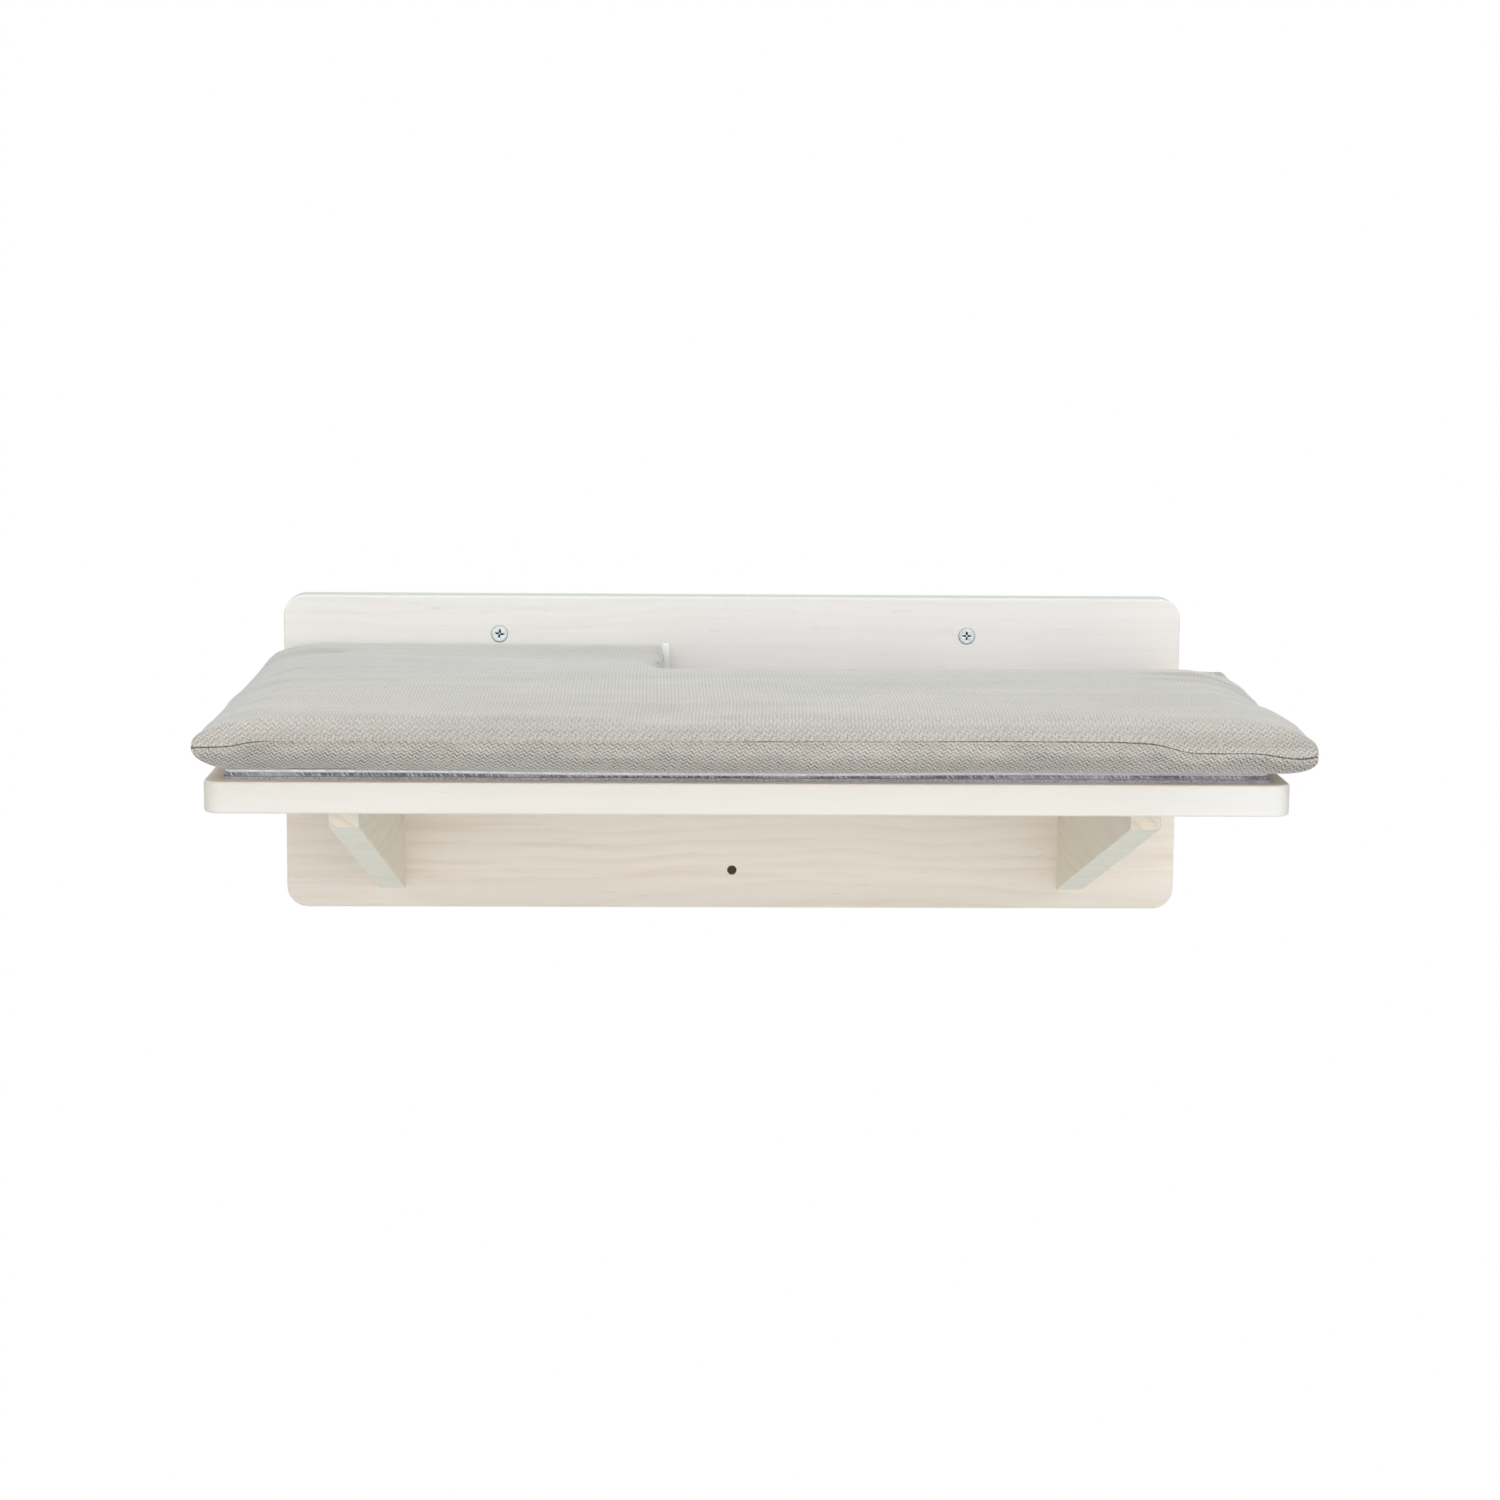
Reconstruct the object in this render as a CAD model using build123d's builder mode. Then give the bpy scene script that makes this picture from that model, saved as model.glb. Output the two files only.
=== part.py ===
from build123d import *
import os

# A cat platform that hangs on a wall: a back board, a shelf on two wooden brackets,
# a plush mat on the shelf and a loose cushion on the mat.
# Millimetres. +Z is up, +X is to the right and the front faces -Y.
# The origin is the centre of the back board's wall face.

# Boards
board_width = 510.0
board_height = 180.0
board_thickness = 15.0
platform_depth = 360.0
shelf_top_height = 38.0
board_corner_radius = 12.0
shelf_corner_radius = 9.0
edge_easing = 1.2

# Brackets
bracket_end_inset = 60.0
bracket_reach = 286.0
bracket_rear_height = 102.0
bracket_nose_height = 16.5
bracket_easing = 0.8

# Wall screws and their holes
wall_screw_end_inset = 122.0
wall_hole_margin = 22.0
wall_hole_diameter = 5.5
wall_screw_length = 50.0
wall_screw_head_diameter = 9.2
wall_screw_head_rim = 0.4
screw_head_angle = 90
wall_screw_neck_diameter = 3.4
wall_screw_thread_diameter = 4.5
wall_screw_thread_start = 1.0
wall_screw_point_length = 7.0
recess_width = 1.1
recess_span = 5.0
recess_depth = 2.4
recess_floor_share = 0.35

# Joining screws, driven from the wall side
joining_screw_length = 45.0
joining_screw_head_diameter = 8.0
joining_screw_neck_diameter = 2.9
joining_screw_thread_diameter = 4.0
joining_screw_head_rim = 0.3
joining_screw_thread_start = 0.5
joining_screw_point_length = 5.0
joining_screw_sink = 0.5
shelf_screw_end_inset = 85.0
bracket_screw_inset = 22.0
bracket_screw_spacing = 52.0

# Dowels
dowel_diameter = 6.0
dowel_length = 30.0
dowel_depth_in_face = 10.0
dowel_chamfer = 0.8
dowel_end_room = 0.5
shelf_dowel_end_inset = 170.0
bracket_dowel_inset = 55.0
bracket_dowel_spacing = 150.0

# Clearances
screw_clearance = 0.05
seat_clearance = 0.05
dowel_clearance = 0.05

# Mat
mat_side_inset = 9.0
mat_front_inset = 8.0
mat_rear_gap = 3.0
mat_backing_thickness = 1.3
mat_pile_thickness = 4.0
mat_pile_inset = 0.6
mat_corner_radius = 4.0
mat_pile_easing = 1.2

# Cushion
cushion_end_overhang = 7.5
cushion_shift = 2.5
cushion_front_overhang = 12.0
cushion_rear_gap = 1.5
cushion_seam_rise = 14.5
cushion_shoulder_rise = 24.2
cushion_rear_rise = 20.0
cushion_crown = 3.6
cushion_front_roll = 30.0
cushion_rear_roll = 13.0
cushion_under_roll = 12.0
cushion_end_roll = 34.0
cushion_draw_in = 6.0
cushion_corner_inset = 5.0
cushion_blunt_share = 0.14
roll_shares = (0, 0.07, 0.2, 0.4, 0.68, 1)
middle_shares = (0.2, 0.4, 0.6, 0.8)
upper_bulge_shares = (0.25, 0.62)
lower_bulge_shares = (0.22, 0.7)
cover_thickness = 1.2
filling_clearance = 0.3
notch_width = 306.0
notch_depth = 75.0
notch_roll = 24.0
notch_drop = 6.8
notch_fall_length = 105.0
tape_width = 3.5
tape_height = 14.0
tape_thickness = 0.8
tape_inset = 5.5
tape_rise = 3.0

# Places that follow from the sizes above
board_top = board_height / 2
board_front = -board_thickness
shelf_front = -platform_depth
shelf_underside = shelf_top_height - board_thickness
shelf_length = platform_depth - board_thickness
shelf_middle = shelf_top_height - board_thickness / 2
bracket_centre = board_width / 2 - bracket_end_inset
bracket_nose = board_front - bracket_reach
bracket_rear_bottom = shelf_underside - bracket_rear_height
bracket_nose_bottom = shelf_underside - bracket_nose_height
wall_screw_centre = board_width / 2 - wall_screw_end_inset
shelf_screw_centre = board_width / 2 - shelf_screw_end_inset
shelf_dowel_centre = board_width / 2 - shelf_dowel_end_inset
wall_screw_height = board_top - wall_hole_margin
lower_hole_height = wall_hole_margin - board_top

mat_backing_top = shelf_top_height + mat_backing_thickness
mat_top = mat_backing_top + mat_pile_thickness
mat_front = shelf_front + mat_front_inset
mat_rear = board_front - mat_rear_gap
mat_length = mat_rear - mat_front
mat_middle = (mat_rear + mat_front) / 2
mat_width = board_width - 2 * mat_side_inset

cushion_underside = mat_top
cushion_seam = cushion_underside + cushion_seam_rise
cushion_left = cushion_shift - board_width / 2 - cushion_end_overhang
cushion_right = cushion_shift + board_width / 2 + cushion_end_overhang
cushion_front = shelf_front - cushion_front_overhang
cushion_rear = board_front - cushion_rear_gap
notch_side = cushion_right - notch_width
notch_rear = cushion_rear - notch_depth
cushion_length = cushion_rear - cushion_front
front_shoulder = cushion_front + cushion_front_roll
rear_shoulder = cushion_rear - cushion_rear_roll
notch_shoulder = notch_rear - notch_roll

bracket_screw_height = shelf_underside - bracket_screw_inset
bracket_dowel_rear = board_front - bracket_dowel_inset
dowel_far_depth = dowel_length - dowel_depth_in_face
joining_screw_reach = joining_screw_sink + joining_screw_length - board_thickness

# Places of the holes, as pairs across and up on an upright plane
wall_screw_places = [(side * wall_screw_centre, wall_screw_height) for side in (-1, 1)]
shelf_screw_places = [(step * shelf_screw_centre, shelf_middle) for step in (-1, 0, 1)]
shelf_dowel_places = [(side * shelf_dowel_centre, shelf_middle) for side in (-1, 1)]
bracket_screw_places = [
    (side * bracket_centre, bracket_screw_height - step * bracket_screw_spacing)
    for side in (-1, 1)
    for step in (0, 1)
]
bracket_dowel_places = [
    (side * bracket_centre, bracket_dowel_rear - step * bracket_dowel_spacing, shelf_underside)
    for side in (-1, 1)
    for step in (0, 1)
]

# Upright planes: the board's front with its normal to the front, the wall face and the joint behind
# the shelf with their normals to the wall, and the joining screws' sunk heads
front_plane = Plane(origin=(0, board_front, 0), x_dir=(1, 0, 0), z_dir=(0, -1, 0))
wall_plane = Plane(origin=(0, 0, 0), x_dir=(-1, 0, 0), z_dir=(0, 1, 0))
joint_plane = wall_plane.offset(-board_thickness)
sunk_plane = wall_plane.offset(-joining_screw_sink)


def countersunk_screw(head, rim, neck, neck_end, thread, length, point):
    """A countersunk screw with a cross recess, its head's face at the origin and its point along -Z."""
    with BuildPart() as screw:
        with BuildSketch(Plane.XZ):
            with BuildLine():
                Polyline(
                    (0, 0),
                    (head / 2, 0),
                    (head / 2, -rim),
                    (neck / 2, -rim - (head - neck) / 2),
                    (neck / 2, -neck_end),
                    (thread / 2, -neck_end),
                    (thread / 2, point - length),
                    (0, -length),
                    close=True,
                )
            make_face()
        revolve(axis=Axis.Z)
        for turn in (0, 90):
            with BuildSketch(Plane.XY.rotated((0, 0, turn))):
                Rectangle(recess_span, recess_width)
            with BuildSketch(Plane.XY.rotated((0, 0, turn)).offset(-recess_depth)):
                Rectangle(recess_span * recess_floor_share, recess_width * recess_floor_share)
            loft(mode=Mode.SUBTRACT)
    return screw.part


wall_screw = countersunk_screw(
    wall_screw_head_diameter,
    wall_screw_head_rim,
    wall_screw_neck_diameter,
    board_thickness + wall_screw_thread_start,
    wall_screw_thread_diameter,
    wall_screw_length,
    wall_screw_point_length,
)
joining_screw = countersunk_screw(
    joining_screw_head_diameter,
    joining_screw_head_rim,
    joining_screw_neck_diameter,
    board_thickness + joining_screw_thread_start,
    joining_screw_thread_diameter,
    joining_screw_length,
    joining_screw_point_length,
)

with BuildPart() as dowel:
    Cylinder(dowel_diameter / 2, dowel_length, align=(Align.CENTER, Align.CENTER, Align.MIN))
    chamfer(dowel.edges().filter_by(GeomType.CIRCLE), dowel_chamfer)

# Back board
with BuildPart() as back_board:
    with BuildSketch(front_plane):
        RectangleRounded(board_width, board_height, board_corner_radius)
    extrude(amount=-board_thickness)
    fillet(back_board.faces().sort_by(Axis.Y)[0].outer_wire().edges(), edge_easing)
    fillet(back_board.faces().sort_by(Axis.Y)[-1].outer_wire().edges(), edge_easing)
    with Locations(front_plane):
        with Locations(*wall_screw_places):
            CounterSinkHole(
                wall_screw_thread_diameter / 2 + screw_clearance,
                wall_screw_head_diameter / 2 + wall_screw_head_rim + seat_clearance,
                counter_sink_angle=screw_head_angle,
            )
        with Locations((0, lower_hole_height)):
            Hole(wall_hole_diameter / 2)
        with Locations(*shelf_dowel_places):
            Hole(dowel_diameter / 2 + dowel_clearance, dowel_depth_in_face + dowel_end_room)
    with Locations(wall_plane):
        with Locations(*shelf_screw_places, *bracket_screw_places):
            CounterSinkHole(
                joining_screw_thread_diameter / 2 + screw_clearance,
                joining_screw_head_diameter / 2 + joining_screw_head_rim
                + joining_screw_sink + seat_clearance,
                counter_sink_angle=screw_head_angle,
            )

# Shelf board
with BuildPart() as shelf_board:
    with BuildSketch(Plane.XY.offset(shelf_underside)) as shelf_outline:
        with Locations((0, board_front)):
            Rectangle(board_width, shelf_length, align=(Align.CENTER, Align.MAX))
        fillet(shelf_outline.vertices().group_by(Axis.Y)[0], shelf_corner_radius)
    extrude(amount=board_thickness)
    fillet(
        shelf_board.faces().sort_by(Axis.Z)[-1].edges().sort_by(Axis.Y)[:-1]
        + shelf_board.faces().sort_by(Axis.Z)[0].edges().sort_by(Axis.Y)[:-1],
        edge_easing,
    )
    with Locations(joint_plane):
        with Locations(*shelf_screw_places):
            Hole(joining_screw_thread_diameter / 2 + screw_clearance, joining_screw_reach + dowel_end_room)
        with Locations(*shelf_dowel_places):
            Hole(dowel_diameter / 2 + dowel_clearance, dowel_far_depth + dowel_end_room)
    with Locations(*bracket_dowel_places):
        Cylinder(
            dowel_diameter / 2 + dowel_clearance,
            dowel_depth_in_face + dowel_end_room,
            align=(Align.CENTER, Align.CENTER, Align.MIN),
            mode=Mode.SUBTRACT,
        )

# Brackets
with BuildPart() as both_brackets:
    for side in (-1, 1):
        with BuildSketch(Plane.YZ.offset(side * bracket_centre)):
            with BuildLine():
                Polyline(
                    (board_front, shelf_underside),
                    (board_front, bracket_rear_bottom),
                    (bracket_nose, bracket_nose_bottom),
                    (bracket_nose, shelf_underside),
                    close=True,
                )
            make_face()
    extrude(amount=board_thickness / 2, both=True)
    fillet(
        both_brackets.edges().filter_by(
            lambda edge: edge.center().Y < board_front - edge_easing
            and edge.center().Z < shelf_underside - edge_easing
        ),
        bracket_easing,
    )
    with Locations(joint_plane):
        with Locations(*bracket_screw_places):
            Hole(joining_screw_thread_diameter / 2 + screw_clearance, joining_screw_reach + dowel_end_room)
    with Locations(*bracket_dowel_places):
        Cylinder(
            dowel_diameter / 2 + dowel_clearance,
            dowel_far_depth + dowel_end_room,
            align=(Align.CENTER, Align.CENTER, Align.MAX),
            mode=Mode.SUBTRACT,
        )

with BuildPart() as bracket_left:
    add(both_brackets.solids().sort_by(Axis.X)[0])

with BuildPart() as bracket_right:
    add(both_brackets.solids().sort_by(Axis.X)[-1])

# Wall screws
with BuildPart() as wall_screw_left:
    with Locations(front_plane):
        with Locations(wall_screw_places[0]):
            add(wall_screw)

with BuildPart() as wall_screw_right:
    with Locations(front_plane):
        with Locations(wall_screw_places[-1]):
            add(wall_screw)

# Joining screws
with BuildPart() as shelf_screws:
    with Locations(sunk_plane):
        with Locations(*shelf_screw_places):
            add(joining_screw)

with BuildPart() as bracket_screws:
    with Locations(sunk_plane):
        with Locations(*bracket_screw_places):
            add(joining_screw)

# Dowels
with BuildPart() as shelf_dowels:
    with Locations(joint_plane.offset(-dowel_far_depth)):
        with Locations(*shelf_dowel_places):
            add(dowel.part)

with BuildPart() as bracket_dowels:
    with Locations((0, 0, -dowel_far_depth)):
        with Locations(*bracket_dowel_places):
            add(dowel.part)

# Mat
with BuildPart() as mat_backing:
    with BuildSketch(Plane.XY.offset(shelf_top_height)):
        with Locations((0, mat_middle)):
            RectangleRounded(mat_width, mat_length, mat_corner_radius)
    extrude(amount=mat_backing_thickness)

with BuildPart() as mat_pile:
    with BuildSketch(Plane.XY.offset(mat_backing_top)):
        with Locations((0, mat_middle)):
            RectangleRounded(
                mat_width - 2 * mat_pile_inset, mat_length - 2 * mat_pile_inset, mat_corner_radius
            )
    extrude(amount=mat_pile_thickness)
    fillet(mat_pile.faces().sort_by(Axis.Z)[-1].edges(), mat_pile_easing)


def fullness(reach, roll):
    """How full a rolled edge is at a reach from it, from its blunt edge to the whole thickness."""
    way = min(max(reach / roll, 0), 1)
    return cushion_blunt_share + (1 - cushion_blunt_share) * (1 - (1 - way) ** 2) ** (1 / 2)


def top_rise(place, drop):
    """The top's height over the underside at a place along Y, with the fall towards the cut-out."""
    way = (place - front_shoulder) / (rear_shoulder - front_shoulder)
    way = min(max(way, 0), 1)
    fall = 1 - (notch_shoulder - place) / notch_fall_length
    fall = min(max(fall, 0), 1)
    level = cushion_shoulder_rise + (cushion_rear_rise - cushion_shoulder_rise) * way
    return level + 4 * cushion_crown * way * (1 - way) - drop * fall ** 2


def cushion_form(inset):
    """The cushion's whole form with a cut-out at the rear right, drawn in all round by the inset."""
    split = notch_side - inset
    front = cushion_front + inset
    blocks = (
        (-1, cushion_left + inset, cushion_rear - inset, cushion_rear_roll, 0),
        (1, cushion_right - inset, notch_rear - inset, notch_roll, notch_drop),
    )
    with BuildPart() as form:
        for side, end, rear, rear_roll, drop in blocks:
            first = front + cushion_front_roll
            last = rear - rear_roll
            stations = (
                [front + share * cushion_front_roll for share in roll_shares]
                + [first + share * (last - first) for share in middle_shares]
                + [rear - share * rear_roll for share in roll_shares[::-1]]
            )
            for place in stations:
                over = fullness(place - front, cushion_front_roll) * fullness(rear - place, rear_roll)
                under = fullness(place - front, cushion_under_roll) * fullness(
                    rear - place, cushion_under_roll
                )
                way = (place - cushion_front) / cushion_length
                draw = 4 * cushion_draw_in * way * (1 - way) + cushion_corner_inset * (1 - over)
                edge = end - side * draw
                top = cushion_seam + over * (top_rise(place, drop) - cushion_seam_rise - inset)
                bottom = cushion_seam - under * (cushion_seam_rise - inset)
                shoulder = edge - side * cushion_end_roll
                heel = edge - side * cushion_under_roll
                upper_bulge = (
                    edge - side * upper_bulge_shares[0] * cushion_end_roll,
                    cushion_seam + upper_bulge_shares[1] * (top - cushion_seam),
                )
                lower_bulge = (
                    edge - side * lower_bulge_shares[0] * cushion_under_roll,
                    cushion_seam - lower_bulge_shares[1] * (cushion_seam - bottom),
                )
                with BuildSketch(Plane.XZ.offset(-place)):
                    with BuildLine():
                        ThreePointArc((edge, cushion_seam), upper_bulge, (shoulder, top))
                        Line((shoulder, top), (split, top))
                        Line((split, top), (split, bottom))
                        Line((split, bottom), (heel, bottom))
                        ThreePointArc((heel, bottom), lower_bulge, (edge, cushion_seam))
                    make_face()
            loft(ruled=True)
    return form.part


cushion_outside = cushion_form(0)
cushion_inside = cushion_form(cover_thickness)

# Cushion
with BuildPart() as cushion_cover_top:
    add(cushion_outside)
    split(bisect_by=Plane.XY.offset(cushion_seam), keep=Keep.TOP)
    add(cushion_inside, mode=Mode.SUBTRACT)

with BuildPart() as cushion_cover_bottom:
    add(cushion_outside)
    split(bisect_by=Plane.XY.offset(cushion_seam), keep=Keep.BOTTOM)
    add(cushion_inside, mode=Mode.SUBTRACT)

with BuildPart() as cushion_filling:
    add(cushion_form(cover_thickness + filling_clearance))

with BuildPart() as cushion_side_tape:
    with Locations((notch_side, cushion_rear - tape_inset, cushion_seam + tape_rise)):
        Box(
            tape_width,
            tape_thickness,
            tape_height,
            align=(Align.MIN, Align.CENTER, Align.MAX),
        )

os.makedirs("parts", exist_ok=True)

back_board.part.label = "back_board"
export_step(back_board.part, "parts/back_board.step")
shelf_board.part.label = "shelf_board"
export_step(shelf_board.part, "parts/shelf_board.step")
bracket_left.part.label = "bracket_left"
export_step(bracket_left.part, "parts/bracket_left.step")
bracket_right.part.label = "bracket_right"
export_step(bracket_right.part, "parts/bracket_right.step")
wall_screw_left.part.label = "wall_screw_left"
export_step(wall_screw_left.part, "parts/wall_screw_left.step")
wall_screw_right.part.label = "wall_screw_right"
export_step(wall_screw_right.part, "parts/wall_screw_right.step")
shelf_screws.part.label = "shelf_screws"
export_step(shelf_screws.part, "parts/shelf_screws.step")
bracket_screws.part.label = "bracket_screws"
export_step(bracket_screws.part, "parts/bracket_screws.step")
shelf_dowels.part.label = "shelf_dowels"
export_step(shelf_dowels.part, "parts/shelf_dowels.step")
bracket_dowels.part.label = "bracket_dowels"
export_step(bracket_dowels.part, "parts/bracket_dowels.step")
mat_backing.part.label = "mat_backing"
export_step(mat_backing.part, "parts/mat_backing.step")
mat_pile.part.label = "mat_pile"
export_step(mat_pile.part, "parts/mat_pile.step")
cushion_cover_top.part.label = "cushion_cover_top"
export_step(cushion_cover_top.part, "parts/cushion_cover_top.step")
cushion_cover_bottom.part.label = "cushion_cover_bottom"
export_step(cushion_cover_bottom.part, "parts/cushion_cover_bottom.step")
cushion_filling.part.label = "cushion_filling"
export_step(cushion_filling.part, "parts/cushion_filling.step")
cushion_side_tape.part.label = "cushion_side_tape"
export_step(cushion_side_tape.part, "parts/cushion_side_tape.step")
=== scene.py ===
"""Dressed scene of the cat wall platform: its finishes, soft parts, screws, studio and camera."""

import logging
import math
from dataclasses import dataclass, field
from enum import Enum

import bpy
import numpy as np
from mathutils import Matrix, Vector, noise


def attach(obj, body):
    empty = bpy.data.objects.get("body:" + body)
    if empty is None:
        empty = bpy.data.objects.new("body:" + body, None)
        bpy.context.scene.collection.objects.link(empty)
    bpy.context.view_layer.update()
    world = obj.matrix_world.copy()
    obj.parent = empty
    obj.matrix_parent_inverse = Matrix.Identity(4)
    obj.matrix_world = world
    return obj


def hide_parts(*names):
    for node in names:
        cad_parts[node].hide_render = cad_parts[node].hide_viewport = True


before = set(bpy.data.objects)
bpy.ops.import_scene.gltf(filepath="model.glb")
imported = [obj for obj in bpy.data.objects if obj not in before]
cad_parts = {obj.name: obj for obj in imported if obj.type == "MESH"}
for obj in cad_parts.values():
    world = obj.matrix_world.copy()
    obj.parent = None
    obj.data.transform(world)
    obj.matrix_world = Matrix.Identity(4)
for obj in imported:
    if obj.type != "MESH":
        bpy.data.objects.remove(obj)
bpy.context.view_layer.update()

log = logging.getLogger("cat_wall_platform")

MM = 0.001
PLATFORM = "platform"
CUSHION = "cushion"

WHITE = (1.0, 1.0, 1.0, 1.0)
FULL_TURN = 2 * math.pi
SCREEN_TOE = 0.04045

Material = bpy.types.Material
Mesh = bpy.types.Mesh
Piece = bpy.types.Object
Socket = bpy.types.NodeSocket
Feed = Socket | float | int | bool | tuple
Colour = tuple[float, float, float]
Span = tuple[float, float]
Curve = tuple[Span, ...]
Face = tuple[int, ...]


def linear(colour: Feed) -> Feed:
    """Turn a display colour into the scene's own values.

    Args:
        colour: Its red, green and blue from 0 to 255, or a socket, which stays as it is.

    Returns:
        The linear colour with full opacity, or the socket.
    """
    if not isinstance(colour, tuple):
        return colour
    shares = (part / 255 for part in colour)
    flat = [part / 12.92 if part <= SCREEN_TOE else ((part + 0.055) / 1.055) ** 2.4 for part in shares]
    return (*flat, 1.0)


def held(value: float, low: float = 0.0, high: float = 1.0) -> float:
    """Hold a value between two limits."""
    return min(max(value, low), high)


def new_piece(name: str, mesh: Mesh, material: Material) -> Piece:
    """Link a finished mesh to the scene as a piece at the origin.

    Args:
        name: The piece's name.
        mesh: Its mesh, already in place.
        material: Its finish.

    Returns:
        The new object.
    """
    mesh.name = name
    mesh.materials.clear()
    mesh.materials.append(material)
    piece = bpy.data.objects.new(name, mesh)
    bpy.context.scene.collection.objects.link(piece)
    return piece


def mesh_from(points: np.ndarray, faces: list) -> Mesh:
    """Make a smooth mesh from points in metres and faces by index.

    Args:
        points: One row for each vertex.
        faces: Vertex indices of each face.

    Returns:
        The new mesh.
    """
    mesh = bpy.data.meshes.new("mesh")
    mesh.from_pydata([tuple(point) for point in points], [], faces)
    mesh.validate()
    mesh.shade_smooth()
    mesh.update()
    return mesh


def turned_faces(sides: int, rings: int, closed: bool) -> list[Face]:
    """Skin a turned form, whose points are a middle, its rings in order and, if closed, its far end.

    Args:
        sides: Points in a ring.
        rings: How many rings there are.
        closed: Whether a last point closes the far end.

    Returns:
        The faces.
    """
    faces: list[Face] = []
    for side in range(sides):
        after = (side + 1) % sides
        faces.append((0, 1 + side, 1 + after))
        for low in range(1, 1 + (rings - 1) * sides, sides):
            high = low + sides
            faces.append((low + side, high + side, high + after, low + after))
        if closed:
            last = 1 + (rings - 1) * sides
            faces.append((last + side, last + sides, last + after))
    return faces


def dress(node: str, material: Material) -> None:
    """Give a carried-over solid its finish, and leave its mesh alone."""
    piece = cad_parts[node]
    piece.data.materials.clear()
    piece.data.materials.append(material)


class Wiring:
    """Short calls that add and join the nodes of one tree."""

    tree: bpy.types.NodeTree

    def feed(self, socket: Socket, value: Feed) -> None:
        """Join a socket to a value's socket, or set the value on it."""
        if isinstance(value, bpy.types.NodeSocket):
            self.tree.links.new(value, socket)
        else:
            socket.default_value = value

    def node(self, kind: str, feeds: dict | None = None, **settings: object) -> bpy.types.Node:
        """Add a node.

        Args:
            kind: The node's type.
            feeds: What goes into its sockets, by name or number.
            settings: Its own properties.

        Returns:
            The new node.
        """
        made = self.tree.nodes.new(kind)
        for name, value in settings.items():
            setattr(made, name, value)
        for key, value in (feeds or {}).items():
            self.feed(made.inputs[key], value)
        return made

    def math(self, operation: str, *values: Feed, clamp: bool = False) -> Socket:
        """Add a calculation and return its result."""
        feeds = dict(enumerate(values))
        return self.node("ShaderNodeMath", feeds, operation=operation, use_clamp=clamp).outputs[0]

    def times(self, product: Feed, *others: Feed) -> Feed:
        """Multiply values in turn."""
        for value in others:
            product = self.math("MULTIPLY", product, value)
        return product

    def plus(self, total: Feed, *others: Feed) -> Feed:
        """Add values in turn."""
        for value in others:
            total = self.math("ADD", total, value)
        return total

    def distance(self, across: Feed, up: Feed) -> Socket:
        """Work out how far a point is from the middle of a plane."""
        squares = [self.math("POWER", part, 2.0) for part in (across, up)]
        return self.math("SQRT", self.plus(*squares))

    def vector(self, *parts: Feed) -> Socket:
        """Join three numbers into a vector."""
        return self.node("ShaderNodeCombineXYZ", dict(enumerate(parts))).outputs[0]

    def parts(self, vector: Socket) -> tuple[Socket, ...]:
        """Split a vector into its three numbers."""
        return tuple(self.node("ShaderNodeSeparateXYZ", {0: vector}).outputs)

    def noise(self, vector: Socket, scale: float, detail: float = 2.0, rough: float = 0.5) -> Socket:
        """Add a noise from 0 to 1 at so many ripples a metre."""
        feeds = {"Vector": vector, "Scale": scale, "Detail": detail, "Roughness": rough}
        return self.node("ShaderNodeTexNoise", feeds).outputs[0]

    def swing(self, vector: Socket, scale: float, detail: float = 2.0, rough: float = 0.5) -> Socket:
        """Add a noise from -0.5 to 0.5 at so many ripples a metre."""
        return self.math("SUBTRACT", self.noise(vector, scale, detail, rough), 0.5)

    def span(self, value: Feed, low: float, high: float, start: float = 0.0, end: float = 1.0) -> Socket:
        """Ease a value from one range into another, held at its ends."""
        feeds = {0: value, 1: low, 2: high, 3: start, 4: end}
        kind = "ShaderNodeMapRange"
        return self.node(kind, feeds, interpolation_type="SMOOTHSTEP").outputs[0]

    def blend(self, share: Feed, low: Feed, high: Feed) -> Socket:
        """Mix two colours by a share from 0 to 1."""
        feeds = {0: share, 6: linear(low), 7: linear(high)}
        return self.node("ShaderNodeMix", feeds, data_type="RGBA").outputs[2]

    def tone(self, colour: Feed, value: Socket, amount: float) -> Socket:
        """Lighten or darken a colour by a noise round its middle."""
        level = self.math("MULTIPLY_ADD", value, 2 * amount, 1 - amount)
        flat = linear(colour)[:3] if isinstance(colour, tuple) else colour
        return self.node("ShaderNodeVectorMath", {0: flat, 3: level}, operation="SCALE").outputs[0]

    def looked_at(self) -> Socket:
        """Find the rays that show the background itself: the camera's, and those in gloss and glass."""
        rays = self.node("ShaderNodeLightPath").outputs
        seen = self.math("ADD", rays["Is Camera Ray"], rays["Is Glossy Ray"], clamp=True)
        return self.math("ADD", seen, rays["Is Transmission Ray"], clamp=True)


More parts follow.
